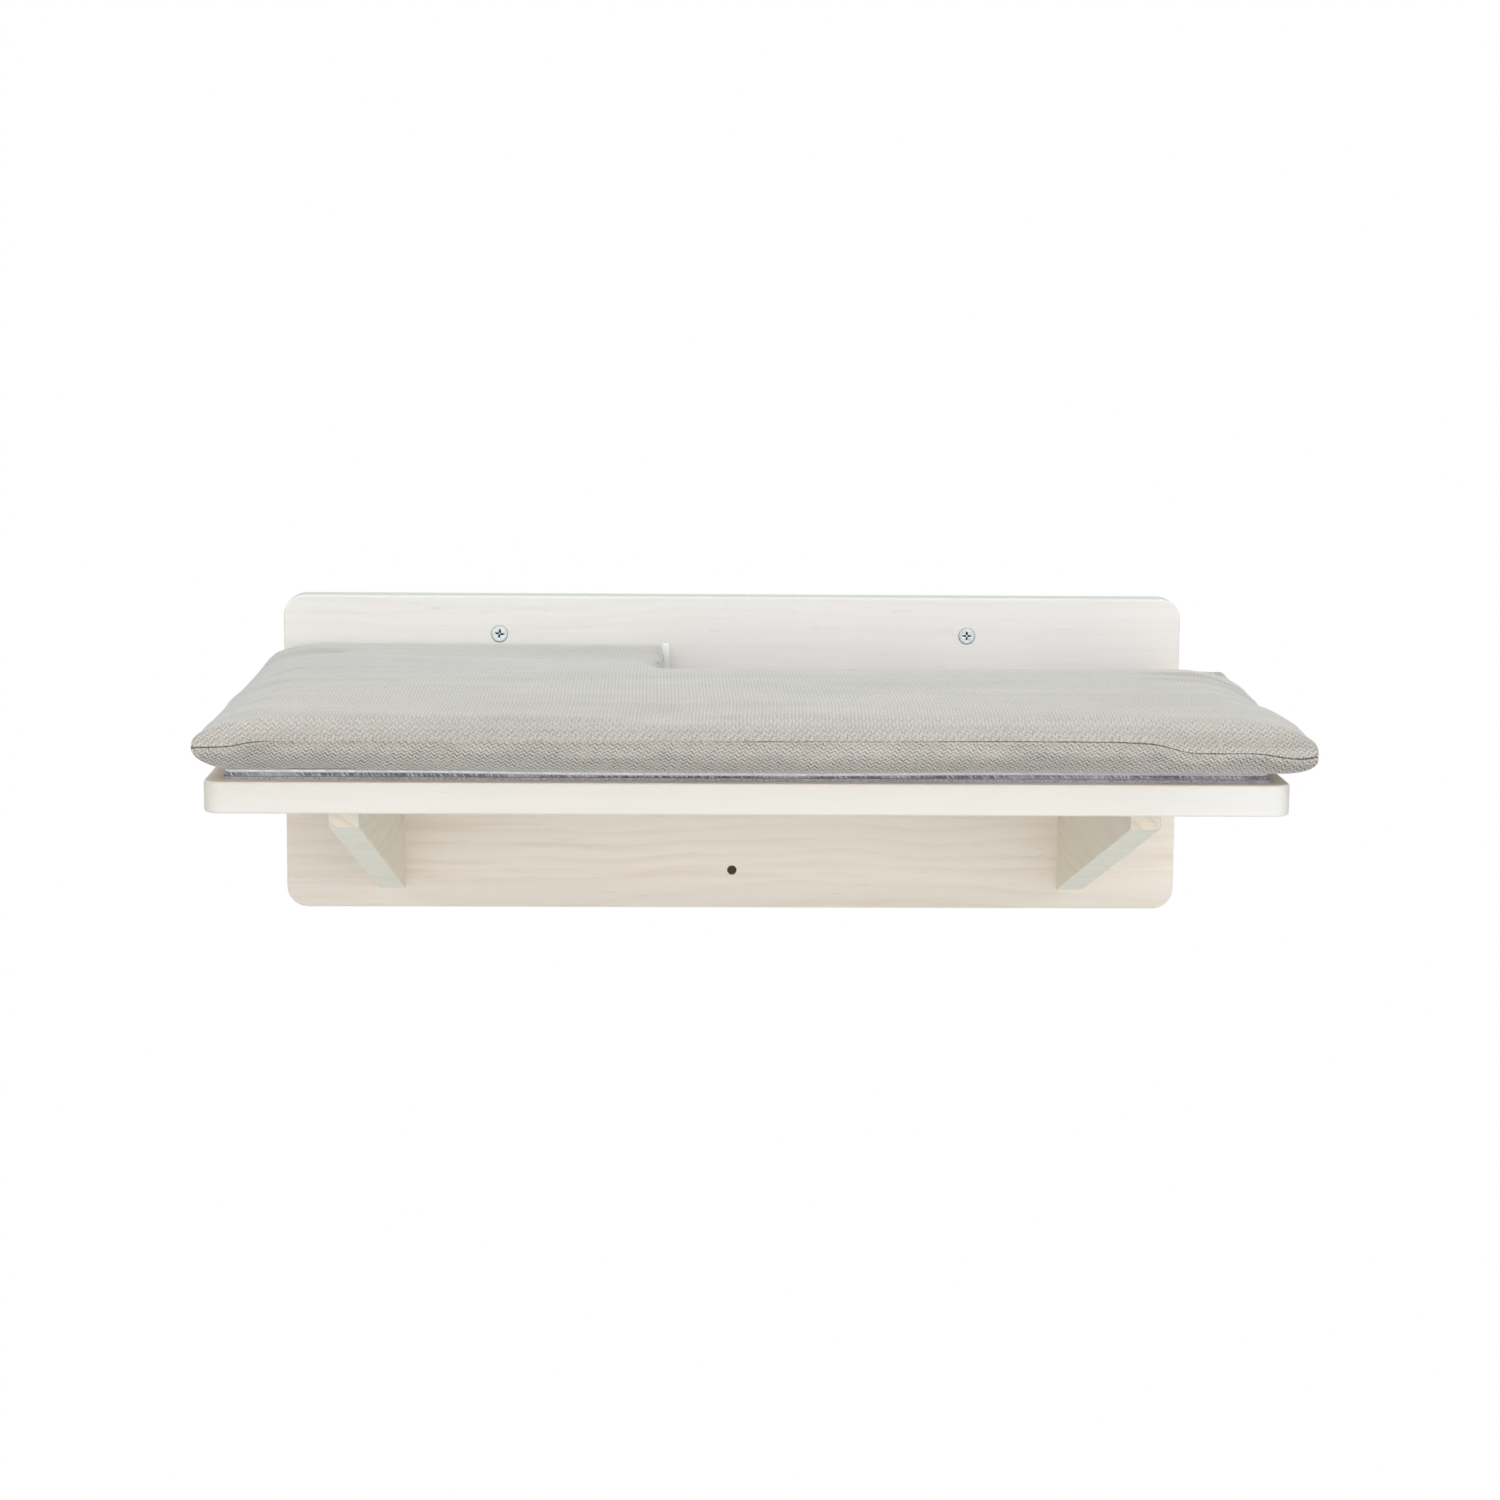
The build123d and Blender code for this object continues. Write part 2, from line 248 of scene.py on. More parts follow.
class Finish(Wiring):
    """The node tree of one material, read from Object coordinates or a map on the piece."""

    def __init__(self, name: str) -> None:
        """Start a material with its shader alone.

        Args:
            name: The material's name.
        """
        self.material = bpy.data.materials.new(name)
        self.material.use_nodes = True
        self.tree = self.material.node_tree
        self.shader = self.tree.nodes["Principled BSDF"]
        self.coordinates = self.node("ShaderNodeTexCoord")

    def place(self) -> Socket:
        """The point on the piece, in metres."""
        return self.coordinates.outputs["Object"]

    def cloth_place(self) -> Socket:
        """The point on the flat cut of the cloth, in metres."""
        return self.node("ShaderNodeUVMap", uv_map="cloth").outputs[0]

    def facing(self) -> tuple[Socket, ...]:
        """The three parts of the surface's outward direction."""
        return self.parts(self.node("ShaderNodeNewGeometry").outputs["Normal"])

    def painted(self, name: str) -> Socket:
        """A share that the piece's points keep as an attribute."""
        return self.node("ShaderNodeAttribute", attribute_name=name).outputs["Fac"]

    def bumps(self, height: Socket, strength: float, distance: float) -> None:
        """Raise the surface by a height from 0 to 1."""
        feeds = {"Height": height, "Strength": strength, "Distance": distance}
        self.feed(self.shader.inputs["Normal"], self.node("ShaderNodeBump", feeds).outputs[0])

    def surface(self, colour: Feed, roughness: Feed, **others: Feed) -> Material:
        """Set the shader's sockets.

        Args:
            colour: The base colour.
            roughness: The roughness.
            others: Further sockets, with a low line for each space in their names.

        Returns:
            The finished material.
        """
        self.feed(self.shader.inputs["Base Color"], colour)
        self.feed(self.shader.inputs["Roughness"], roughness)
        for name, value in others.items():
            self.shader.inputs[name.replace("_", " ")].default_value = value
        return self.material


class Growth(Wiring):
    """A geometry node tree with named sizes, grown on one object and made a plain mesh."""

    def __init__(self, name: str) -> None:
        """Start a tree that takes and gives one geometry.

        Args:
            name: The tree's name.
        """
        self.tree = bpy.data.node_groups.new(name, "GeometryNodeTree")
        for way in ("INPUT", "OUTPUT"):
            self.tree.interface.new_socket("Geometry", in_out=way, socket_type="NodeSocketGeometry")
        self.start = self.node("NodeGroupInput")
        self.end = self.node("NodeGroupOutput")
        self.values: dict[str, object] = {}

    def size(self, name: str, kind: str, value: object) -> Socket:
        """Add a named input.

        Args:
            name: Its plain name.
            kind: Its socket's kind, such as Float.
            value: What it is set to.

        Returns:
            Its socket inside the tree.
        """
        made = self.tree.interface.new_socket(name, in_out="INPUT", socket_type=f"NodeSocket{kind}")
        self.values[made.identifier] = value
        return self.start.outputs[name]

    def instances(self, points: Socket, instance: Socket, **placing: Feed) -> Socket:
        """Put a copy of one geometry on every point."""
        feeds = {"Points": points, "Instance": instance, **placing}
        return self.node("GeometryNodeInstanceOnPoints", feeds).outputs[0]

    def close(self, geometry: Socket, material: Material) -> None:
        """End the tree: realise what was instanced, and set its finish.

        Args:
            geometry: What the tree has made.
            material: Its finish.
        """
        real = self.node("GeometryNodeRealizeInstances", {0: geometry}).outputs[0]
        finish = self.size("Finish", "Material", material)
        dressed = self.node("GeometryNodeSetMaterial", {"Geometry": real, "Material": finish})
        self.feed(self.end.inputs[0], dressed.outputs[0])

    def grow(self, seed_piece: Piece) -> Mesh:
        """Evaluate the tree on an object, and remove that object.

        Args:
            seed_piece: The object whose mesh goes into the tree.

        Returns:
            The plain mesh that came out.
        """
        modifier = seed_piece.modifiers.new("growth", "NODES")
        modifier.node_group = self.tree
        for identifier, value in self.values.items():
            modifier[identifier] = value
        bpy.context.view_layer.update()
        graph = bpy.context.evaluated_depsgraph_get()
        mesh = bpy.data.meshes.new_from_object(seed_piece.evaluated_get(graph))
        seed_piece.modifiers.clear()
        bpy.data.objects.remove(seed_piece)
        return mesh


class Grain(Enum):
    """Which way a board's grain runs."""

    ACROSS = "from end to end of the platform"
    FORWARD = "from the wall to the front"


@dataclass(frozen=True)
class WashedWood:
    """Solid softwood, thinly washed white, with faint growth lines and open end grain; painted light and
    shade tint parts of it.
    """

    name: str
    grain: Grain
    pith: tuple[float, float] = (0.10, 0.15)
    wash: Colour = (231, 230, 226)
    # painted warm bounce light: lighter and warmer on the lower parts
    painted_bounce_tint: Colour = (244, 237, 226)
    # colour painted on faces that look up, for how light falls on them
    painted_top_tone: Colour = (196, 199, 192)
    line: Colour = (208, 182, 164)
    end_wash: Colour = (246, 242, 231)
    end: Colour = (236, 222, 194)
    pore_shade: Colour = (176, 158, 138)
    speck_shade: Colour = (150, 128, 106)
    line_share: float = 0.26
    streak_share: float = 0.24
    ring_step: float = 0.0075
    wander: float = 0.011
    offset: float = 0.0
    bounce_heights: Span = (0.03, -0.02)
    sawn_slant: bool = False
    slant: Colour = (234, 234, 221)
    saw_mark: Colour = (182, 182, 166)
    # painted shade beside the cushion, partly a pinker tint; the shelf's painted shadow on the lower left;
    # darker towards the foot
    has_painted_shade: bool = False
    shade_and_tint_by_cushion: Colour = (224, 221, 216)
    cushion_shade_across: Span = (-0.085, -0.02)
    cushion_shade_top: Span = (0.088, 0.052)
    cushion_shade_foot: Span = (0.02, 0.045)
    shelf_shadow_and_foot_tone: Colour = (227, 220, 209)
    shelf_shadow_across: Span = (-0.16, -0.25)
    shelf_shadow_up: Span = (0.01, -0.03)
    darker_foot: Span = (-0.066, -0.089)
    # lighter towards the right end
    bright_end: float = 0.0
    bright_across: Span = (0.17, 0.25)
    right_end_tone: Colour = (237, 237, 234)
    relief: float = 0.0002

    def ground(self, nodes: Finish, low_share: Socket) -> Socket:
        """Colour the wash, with painted warm light lower down and painted shade in places.

        Args:
            nodes: The material's nodes.
            low_share: How far down into the painted warm light the point lies, from 0 to 1.

        Returns:
            The wash's colour.
        """
        x, _, z = nodes.parts(nodes.place())
        ground = nodes.blend(low_share, self.wash, self.painted_bounce_tint)
        if self.has_painted_shade:
            # painted shade beside the cushion, partly a pinker tint
            beside = nodes.times(nodes.span(x, *self.cushion_shade_across), nodes.span(z, *self.cushion_shade_top, 0.1, 1.0))
            beside = nodes.times(beside, nodes.span(z, *self.cushion_shade_foot))
            ground = nodes.blend(beside, ground, self.shade_and_tint_by_cushion)
            # painted shadow of the shelf on the lower left, and darker towards the foot
            corner = nodes.times(nodes.span(x, *self.shelf_shadow_across), nodes.span(z, *self.shelf_shadow_up))
            shadow_and_foot = nodes.math("MAXIMUM", corner, nodes.span(z, *self.darker_foot, 0.0, 0.6))
            ground = nodes.blend(shadow_and_foot, ground, self.shelf_shadow_and_foot_tone)
        # lighter towards the right end
        bright_end = nodes.span(x, *self.bright_across, 0.0, self.bright_end)
        return nodes.blend(bright_end, ground, self.right_end_tone)

    def saw(self, nodes: Finish, colour: Socket, down: Socket) -> Socket:
        """Leave the marks of the saw on the slanted lower edge.

        Args:
            nodes: The material's nodes.
            colour: The wood's colour.
            down: The upward part of the surface's direction.

        Returns:
            The colour with the marks.
        """
        x, y, z = nodes.parts(nodes.place())
        cut = nodes.noise(nodes.vector(nodes.times(x, 0.12), y, z), 620.0, 2.0, 0.6)
        under = nodes.span(down, -0.85, -0.95)
        marks = nodes.times(nodes.span(cut, 0.52, 0.66, 0.0, 0.42), under)
        colour = nodes.blend(under, colour, self.slant)
        return nodes.blend(marks, colour, self.saw_mark)

    def make(self) -> Material:
        """Build the material.

        Returns:
            The finished material.
        """
        nodes = Finish(self.name)
        x, y, z = nodes.parts(nodes.place())
        along, across, up = (x, y, z) if self.grain is Grain.ACROSS else (y, x, z)
        shifted = nodes.plus(along, self.offset)
        slow = nodes.vector(nodes.times(shifted, 0.32), across, up)
        bend = nodes.swing(slow, 9.0, 3.0, 0.55)
        from_pith = nodes.distance(nodes.plus(across, self.pith[0]), nodes.plus(up, self.pith[1]))
        reach = nodes.math("MULTIPLY_ADD", bend, 4 * self.wander, from_pith)
        uneven = nodes.noise(nodes.vector(reach, reach, reach), 30.0, 1.0)
        rings = nodes.math("MULTIPLY_ADD", uneven, 2.5, nodes.math("DIVIDE", reach, self.ring_step))
        ring = nodes.math("FRACT", rings)
        late = nodes.times(nodes.span(ring, 0.35, 0.92), nodes.span(ring, 0.93, 1.0, 1.0, 0.0))
        patch = nodes.span(nodes.noise(slow, 26.0, 2.0), 0.38, 0.72, 0.25, 1.0)
        bent_up = nodes.math("MULTIPLY_ADD", bend, 0.01, up)
        fibre = nodes.noise(nodes.vector(nodes.times(shifted, 0.03), across, bent_up), 900.0, 3.0, 0.6)
        streak = nodes.noise(nodes.vector(nodes.times(shifted, 0.06), across, up), 160.0, 3.0, 0.6)
        share = nodes.times(late, patch, self.line_share)
        share = nodes.plus(share, nodes.span(streak, 0.5, 0.8, 0.0, self.streak_share))
        # painted warm bounce light lower down, where the shelf shades the board; the growth lines also show
        # more there
        low_share = nodes.span(z, *self.bounce_heights)
        share = nodes.times(share, nodes.math("MULTIPLY_ADD", low_share, 0.5, 0.5))
        colour = nodes.blend(share, self.ground(nodes, low_share), self.line)
        pores = nodes.noise(nodes.vector(nodes.times(shifted, 0.09), across, up), 700.0, 1.0)
        pore = nodes.span(pores, 0.7, 0.8, 0.0, 0.16)
        colour = nodes.blend(pore, colour, self.pore_shade)
        speck = nodes.node("ShaderNodeTexVoronoi", {"Vector": nodes.place(), "Scale": 13.0}).outputs[0]
        colour = nodes.blend(nodes.span(speck, 0.010, 0.016, 0.5, 0.0), colour, self.speck_shade)
        colour = nodes.tone(colour, fibre, 0.022)
        colour = nodes.tone(colour, nodes.noise(nodes.place(), 14.0, 2.0), 0.014)
        facing = nodes.facing()
        # painted light and shade on faces that look up: darker on the board's top, lighter on the shaded
        # shelf top
        colour = nodes.blend(nodes.span(facing[2], 0.25, 0.8, 0.0, 0.9), colour, self.painted_top_tone)
        if self.sawn_slant:
            colour = self.saw(nodes, colour, facing[2])
        end_on = nodes.math("ABSOLUTE", facing[0] if self.grain is Grain.ACROSS else facing[1])
        end_share = nodes.span(end_on, 0.55, 0.98)
        open_pore = nodes.noise(nodes.place(), 1100.0, 2.0, 0.7)
        end_colour = nodes.blend(nodes.span(open_pore, 0.35, 0.7), self.end_wash, self.end)
        end_colour = nodes.blend(nodes.times(late, 0.3), end_colour, self.line)
        colour = nodes.blend(nodes.times(end_share, 0.75), colour, end_colour)
        height = nodes.math("MULTIPLY_ADD", fibre, 0.5, nodes.times(pore, -2.0))
        height = nodes.plus(height, nodes.times(open_pore, end_share, 0.8))
        nodes.bumps(height, 0.22, self.relief)
        return nodes.surface(colour, nodes.span(fibre, 0.2, 0.8, 0.52, 0.64), Specular_IOR_Level=0.35)


@dataclass(frozen=True)
class DowelWood:
    """Plain turned beech with short dark flecks."""

    name: str = "turned_beech"
    body: Colour = (214, 178, 136)
    fleck: Colour = (168, 124, 84)

    def make(self) -> Material:
        """Build the material.

        Returns:
            The finished material.
        """
        nodes = Finish(self.name)
        x, y, z = nodes.parts(nodes.place())
        stretched = nodes.vector(x, nodes.times(y, 0.2), z)
        flecks = nodes.span(nodes.noise(stretched, 900.0, 2.0), 0.62, 0.74)
        nodes.bumps(flecks, 0.2, 0.0002)
        colour = nodes.blend(flecks, self.body, self.fleck)
        return nodes.surface(nodes.tone(colour, nodes.noise(nodes.place(), 300.0), 0.06), 0.6)


@dataclass(frozen=True)
class ZincSteel:
    """Bright zinc plate on steel, dull down inside the cross recess, with painted shade in the recess and a
    painted shadow round the head's rim, heaviest at the bottom.
    """

    name: str = "zinc_plate"
    plate: Colour = (215, 223, 224)
    haze: Colour = (184, 195, 198)
    shade: Colour = (50, 66, 68)
    # painted shadow round the head's rim
    rim: Colour = (104, 114, 116)

    def make(self) -> Material:
        """Build the material.

        Returns:
            The finished material.
        """
        nodes = Finish(self.name)
        inside = nodes.painted("recess")
        haze = nodes.span(nodes.noise(nodes.place(), 420.0, 3.0), 0.4, 0.7, 0.0, 0.7)
        colour = nodes.blend(haze, self.plate, self.haze)
        # painted shade down in the cross recess
        colour = nodes.blend(inside, colour, self.shade)
        # painted shadow round the head's rim, heaviest at the bottom
        colour = nodes.blend(nodes.painted("rim"), colour, self.rim)
        nodes.bumps(nodes.noise(nodes.place(), 2600.0, 2.0), 0.12, 0.0001)
        return nodes.surface(colour, nodes.span(inside, 0.0, 1.0, 0.34, 0.6), Metallic=0.85)


@dataclass(frozen=True)
class WovenCloth:
    """Soft grey upholstery cloth, with looped ribs and zigzag rows in its weave."""

    name: str = "woven_grey_cloth"
    thread: Colour = (203, 199, 193)
    gap: Colour = (99, 95, 87)
    # the seam's dark: its thread, and painted shade in its groove
    seam: Colour = (74, 70, 60)
    # lighter colour painted on steep faces, for how light falls on them
    nap: Colour = (236, 232, 222)
    shaded: Colour = (104, 111, 105)
    rib: float = 0.00174
    row: float = 0.0016
    row_rise: float = 0.0018
    zigzag: float = 0.0035
    loops: float = 640.0
    squeeze: float = 1.25
    raised: float = 0.0003
    front_depth: Span = (-0.3, -0.315)
    front_turn: Span = (-0.08, -0.17)
    worked_depth: Span = (-0.335, -0.31)
    rear_depth: Span = (-0.25, -0.03)
    # painted shade on the front roll just above the seam
    roll_shade_foot: Span = (0.0555, 0.0585)
    roll_shade_top: Span = (0.0597, 0.0668)
    roll_shade_turn: Span = (-0.08, -0.3)

    def ribs(self, nodes: Finish, u: Socket, drift: Socket, up: Socket) -> Socket:
        """Raise the ribs that run from front to rear.

        Args:
            nodes: The material's nodes.
            u: The place across the flat cut.
            drift: How far the threads stray.
            up: The upward part of the surface's direction.

        Returns:
            The ribs' height.
        """
        across = nodes.math("MULTIPLY_ADD", drift, 0.8, nodes.math("DIVIDE", u, self.rib))
        waves = nodes.math("SINE", nodes.times(across, FULL_TURN))
        return nodes.times(waves, nodes.span(up, 0.95, 0.998, 0.015, 0.07))

    def rows(self, nodes: Finish, drift: Socket, ahead: Socket, up: Socket) -> Socket:
        """Raise the zigzag rows, which follow the height on the cushion's front.

        Args:
            nodes: The material's nodes.
            drift: How far the threads stray.
            ahead: The forward part of the surface's direction.
            up: Its upward part.

        Returns:
            The rows' height.
        """
        flat = nodes.cloth_place()
        u, v, _ = nodes.parts(flat)
        _, depth, rise = nodes.parts(nodes.place())
        wander = nodes.swing(flat, 620.0, 1.0)
        zig = nodes.math("PINGPONG", nodes.math("DIVIDE", u, self.zigzag / 2), 1.0)
        bend = nodes.math("MULTIPLY_ADD", wander, 0.4, nodes.times(drift, 0.6))
        bend = nodes.math("MULTIPLY_ADD", zig, 0.85, bend)
        waves = []
        for along, spacing in ((v, self.row), (rise, self.row_rise)):
            level = nodes.plus(bend, nodes.math("DIVIDE", along, spacing))
            waves.append(nodes.math("SINE", nodes.times(level, FULL_TURN)))
        in_front = nodes.times(nodes.span(ahead, *self.front_turn), nodes.span(depth, *self.front_depth))
        change = nodes.math("SUBTRACT", waves[1], waves[0])
        rows = nodes.math("MULTIPLY_ADD", in_front, change, waves[0])
        uneven = nodes.span(nodes.noise(flat, 210.0, 1.0), 0.3, 0.7, 0.55, 1.3)
        rows = nodes.times(rows, uneven, nodes.span(up, -0.3, 0.85, 0.25, 0.10))
        worked = nodes.span(depth, *self.worked_depth, 1.0, 0.0)
        worked = nodes.math("MAXIMUM", worked, nodes.span(up, 0.6, 0.8, 1.0, 0.0))
        edge = nodes.math("MULTIPLY_ADD", wander, 0.09, up)
        worked = nodes.times(worked, nodes.span(edge, 0.925, 0.998, 1.0, 0.0))
        return nodes.times(rows, nodes.math("MULTIPLY_ADD", worked, 0.5, 0.5))

    def make(self) -> Material:
        """Build the material.

        Returns:
            The finished material.
        """
        nodes = Finish(self.name)
        flat = nodes.cloth_place()
        u, v, _ = nodes.parts(flat)
        _, depth, rise = nodes.parts(nodes.place())
        _, ahead, up = nodes.facing()
        drift = nodes.swing(flat, 150.0, 2.0)
        ribs, rows = self.ribs(nodes, u, drift, up), self.rows(nodes, drift, ahead, up)
        curl = nodes.swing(nodes.vector(u, nodes.times(v, self.squeeze), 0.0), self.loops, 1.0)
        loops = nodes.span(nodes.math("ABSOLUTE", curl), 0.0, 0.12, 1.0, 0.0)
        height = nodes.plus(ribs, rows, nodes.math("MULTIPLY_ADD", loops, 0.12, 0.45))
        height = nodes.math("MULTIPLY_ADD", nodes.swing(flat, 1500.0, 2.0, 0.6), 0.4, height)
        colour = nodes.blend(nodes.span(height, 0.0, 0.85), self.gap, self.thread)
        # painted shade in the seam's groove, with the dark of its thread, where the seam shows
        seam = nodes.math("POWER", nodes.painted("seam"), 0.6)
        broken = nodes.span(nodes.noise(flat, 620.0, 2.0, 0.6), 0.36, 0.58, 0.12, 1.0)
        colour = nodes.blend(nodes.times(seam, broken), colour, self.seam)
        bands = nodes.noise(nodes.vector(nodes.times(u, 0.1), v, 0.0), 60.0, 3.0, 0.6)
        colour = nodes.tone(nodes.tone(colour, bands, 0.19), nodes.noise(flat, 22.0, 2.0), 0.09)
        # painted shade on faces that look down
        colour = nodes.blend(nodes.span(up, -0.1, -0.8, 0.0, 0.08), colour, self.gap)
        # painted shade on the front roll just above the seam
        roll_shade = nodes.times(nodes.span(rise, *self.roll_shade_foot), nodes.span(rise, *self.roll_shade_top, 0.13, 0.0))
        roll_shade = nodes.times(roll_shade, nodes.span(ahead, *self.roll_shade_turn))
        colour = nodes.blend(roll_shade, colour, self.gap)
        colour = nodes.blend(nodes.span(depth, *self.rear_depth, 0.0, 0.14), colour, self.shaded)
        # painted light on steep faces
        painted_side_light = nodes.span(nodes.math("ABSOLUTE", up), 0.2, 0.5, 0.09, 0.0)
        colour = nodes.blend(painted_side_light, colour, self.nap)
        nodes.bumps(height, 0.6, self.raised)
        return nodes.surface(
            colour, 0.93, Specular_IOR_Level=0.1, Sheen_Weight=0.65, Sheen_Roughness=0.35,
            Sheen_Tint=(0.95, 0.99, 0.98, 1.0),
        )


@dataclass(frozen=True)
class PlushPile:
    """Short purple-grey plush: a painted highlight, partly light tips, along its top edge, dark partings at
    its edge, brushed patches on top.
    """

    name: str = "short_plush"
    body: Colour = (224, 222, 230)
    parting: Colour = (104, 104, 116)
    # painted highlight along the pile's top edge, partly its lighter tips
    tip_highlight: Colour = (250, 250, 252)
    nap: Colour = (209, 206, 217)
    brushed: Colour = (187, 183, 196)
    base_height: float = 0.0393
    tip_height: float = 0.0422
    # lowers the painted highlight and the partings' band, most near the middle, so the line shows under the
    # cushion
    band_drop: float = 0.0015
    band_drop_middle: float = 0.02
    band_drop_across: Span = (0.04, 0.16)
    lit_across: Span = (0.06, 0.2)
    top_depth: Span = (-0.35, -0.348)
    top_across: Span = (0.242, 0.244)
    top_rise: Span = (0.0424, 0.043)

    def make(self) -> Material:
        """Build the material.

        Returns:
            The finished material.
        """
        nodes = Finish(self.name)
        x, y, z = nodes.parts(nodes.place())
        above = nodes.vector(x, y, 0.0)
        leaning = nodes.math("MULTIPLY_ADD", z, 0.7, x)
        flat = nodes.vector(leaning, y, nodes.times(z, 0.3))
        ripple = nodes.span(nodes.noise(flat, 900.0, 2.0, 0.6), 0.34, 0.56)
        patch = nodes.span(nodes.noise(above, 34.0, 2.0), 0.36, 0.54, 0.45, 1.0)
        off_middle = nodes.math("ABSOLUTE", nodes.plus(x, self.band_drop_middle))
        rise = nodes.plus(z, nodes.span(off_middle, *self.band_drop_across, self.band_drop, self.band_drop * 0.4))
        middle = nodes.times(
            nodes.span(rise, self.base_height + 0.0004, self.base_height + 0.0016, 0.4, 1.0),
            nodes.span(rise, self.tip_height - 0.0005, self.tip_height - 0.0002, 1.0, 0.0),
        )
        dark = nodes.times(ripple, patch, middle)
        colour = nodes.blend(nodes.times(dark, 0.9), self.body, self.parting)
        mottle = nodes.noise(nodes.place(), 1500.0, 2.0, 0.6)
        colour = nodes.tone(colour, mottle, 0.16)
        # painted highlight along the pile's top edge, partly lighter tips
        highlight = nodes.times(
            nodes.span(rise, self.tip_height - 0.0002, self.tip_height + 0.0002, 0.0, 0.95),
            nodes.span(rise, self.tip_height + 0.0006, self.tip_height + 0.001, 1.0, 0.5),
            nodes.span(x, *self.lit_across, 1.0, 0.45),
        )
        on_top = nodes.times(
            nodes.span(y, *self.top_depth),
            nodes.span(nodes.math("ABSOLUTE", x), *self.top_across, 1.0, 0.0),
            nodes.span(z, *self.top_rise),
        )
        highlight = nodes.times(highlight, nodes.math("SUBTRACT", 1.0, on_top))
        colour = nodes.blend(highlight, colour, self.tip_highlight)
        swept = nodes.span(nodes.noise(above, 15.0, 4.0, 0.62), 0.4, 0.6)
        tufts = nodes.noise(above, 260.0, 3.0, 0.6)
        top = nodes.tone(nodes.blend(swept, self.nap, self.brushed), tufts, 0.2)
        colour = nodes.blend(on_top, colour, nodes.tone(top, mottle, 0.12))
        nodes.bumps(nodes.plus(mottle, ripple, nodes.times(tufts, on_top, 4.0)), 0.6, 0.0004)
        # painted reflection: the highlight is partly metallic, so it mirrors the white surroundings
        nodes.feed(nodes.shader.inputs["Metallic"], nodes.times(highlight, 0.6))
        return nodes.surface(
            colour, nodes.span(highlight, 0.0, 0.95, 0.95, 0.5),
            Specular_IOR_Level=0.1, Sheen_Weight=0.5, Sheen_Roughness=0.4,
        )


@dataclass(frozen=True)
class MatBacking:
    """The knitted backing under the plush."""

    name: str = "knitted_backing"
    body: Colour = (190, 188, 196)
    gap: Colour = (146, 144, 154)

    def make(self) -> Material:
        """Build the material.

        Returns:
            The finished material.
        """
        nodes = Finish(self.name)
        knit = nodes.noise(nodes.place(), 1300.0, 2.0, 0.6)
        nodes.bumps(knit, 0.4, 0.0003)
        colour = nodes.blend(nodes.span(knit, 0.35, 0.6), self.gap, self.body)
        return nodes.surface(colour, 0.9, Specular_IOR_Level=0.15)


@dataclass(frozen=True)
class CottonTape:
    """White twill tape."""

    name: str = "white_twill"
    body: Colour = (243, 248, 245)
    gap: Colour = (233, 239, 237)
    twill: float = 0.0007

    def make(self) -> Material:
        """Build the material.

        Returns:
            The finished material.
        """
        nodes = Finish(self.name)
        slant = nodes.math("DIVIDE", nodes.plus(*nodes.parts(nodes.place())), self.twill)
        wales = nodes.math("SINE", nodes.times(slant, FULL_TURN))
        height = nodes.math("MULTIPLY_ADD", wales, 0.5, 0.5)
        nodes.bumps(height, 0.4, 0.0002)
        colour = nodes.blend(height, self.gap, self.body)
        return nodes.surface(colour, 0.9, Specular_IOR_Level=0.15, Sheen_Weight=0.5)


@dataclass(frozen=True)
class SewingThread:
    """Spun grey sewing thread."""

    name: str = "grey_thread"
    body: Colour = (118, 114, 104)
    dark: Colour = (80, 76, 68)

    def make(self) -> Material:
        """Build the material.

        Returns:
            The finished material.
        """
        nodes = Finish(self.name)
        twist = nodes.noise(nodes.place(), 3200.0, 1.0)
        nodes.bumps(twist, 0.3, 0.0001)
        colour = nodes.blend(nodes.span(twist, 0.4, 0.6), self.dark, self.body)
        return nodes.surface(colour, 0.8, Sheen_Weight=0.2)


@dataclass
class Boards:
    """The back board, the shelf and its two brackets, dressed as they are in the solids."""

    def dress(self) -> list[str]:
        """Give each board its own cut of the same washed wood.

        Returns:
            The nodes that were dressed.
        """
        cuts = {
            "back_board": WashedWood(
                "washed_back_board", Grain.ACROSS, line_share=0.21, has_painted_shade=True,
            ),
            "shelf_board": WashedWood(
                "washed_shelf", Grain.ACROSS, pith=(0.55, 0.20), wash=(228, 225, 218), offset=0.63,
                line_share=0.12, streak_share=0.16, bounce_heights=(-0.1, -0.2), painted_top_tone=(248, 236, 221),
                end_wash=(229, 231, 223), end=(218, 215, 198), bright_end=0.9,
            ),
            "bracket_left": WashedWood(
                "washed_left_bracket", Grain.FORWARD, pith=(0.42, 0.25), wash=(230, 227, 214),
                painted_bounce_tint=(236, 230, 213), offset=0.2, line_share=0.26, sawn_slant=True,
            ),
            "bracket_right": WashedWood(
                "washed_right_bracket", Grain.FORWARD, pith=(0.05, 0.28), wash=(230, 227, 214),
                painted_bounce_tint=(236, 230, 213), offset=1.4, line_share=0.26, sawn_slant=True,
            ),
        }
        for node, wood in cuts.items():
            dress(node, wood.make())
        return list(cuts)


@dataclass
class Dowels:
    """The turned dowels inside the joints."""

    nodes: tuple[str, ...] = ("shelf_dowels", "bracket_dowels")

    def dress(self) -> list[str]:
        """Give the dowels their wood.

        Returns:
            The nodes that were dressed.
        """
        wood = DowelWood().make()
        for node in self.nodes:
            dress(node, wood)
        return list(self.nodes)


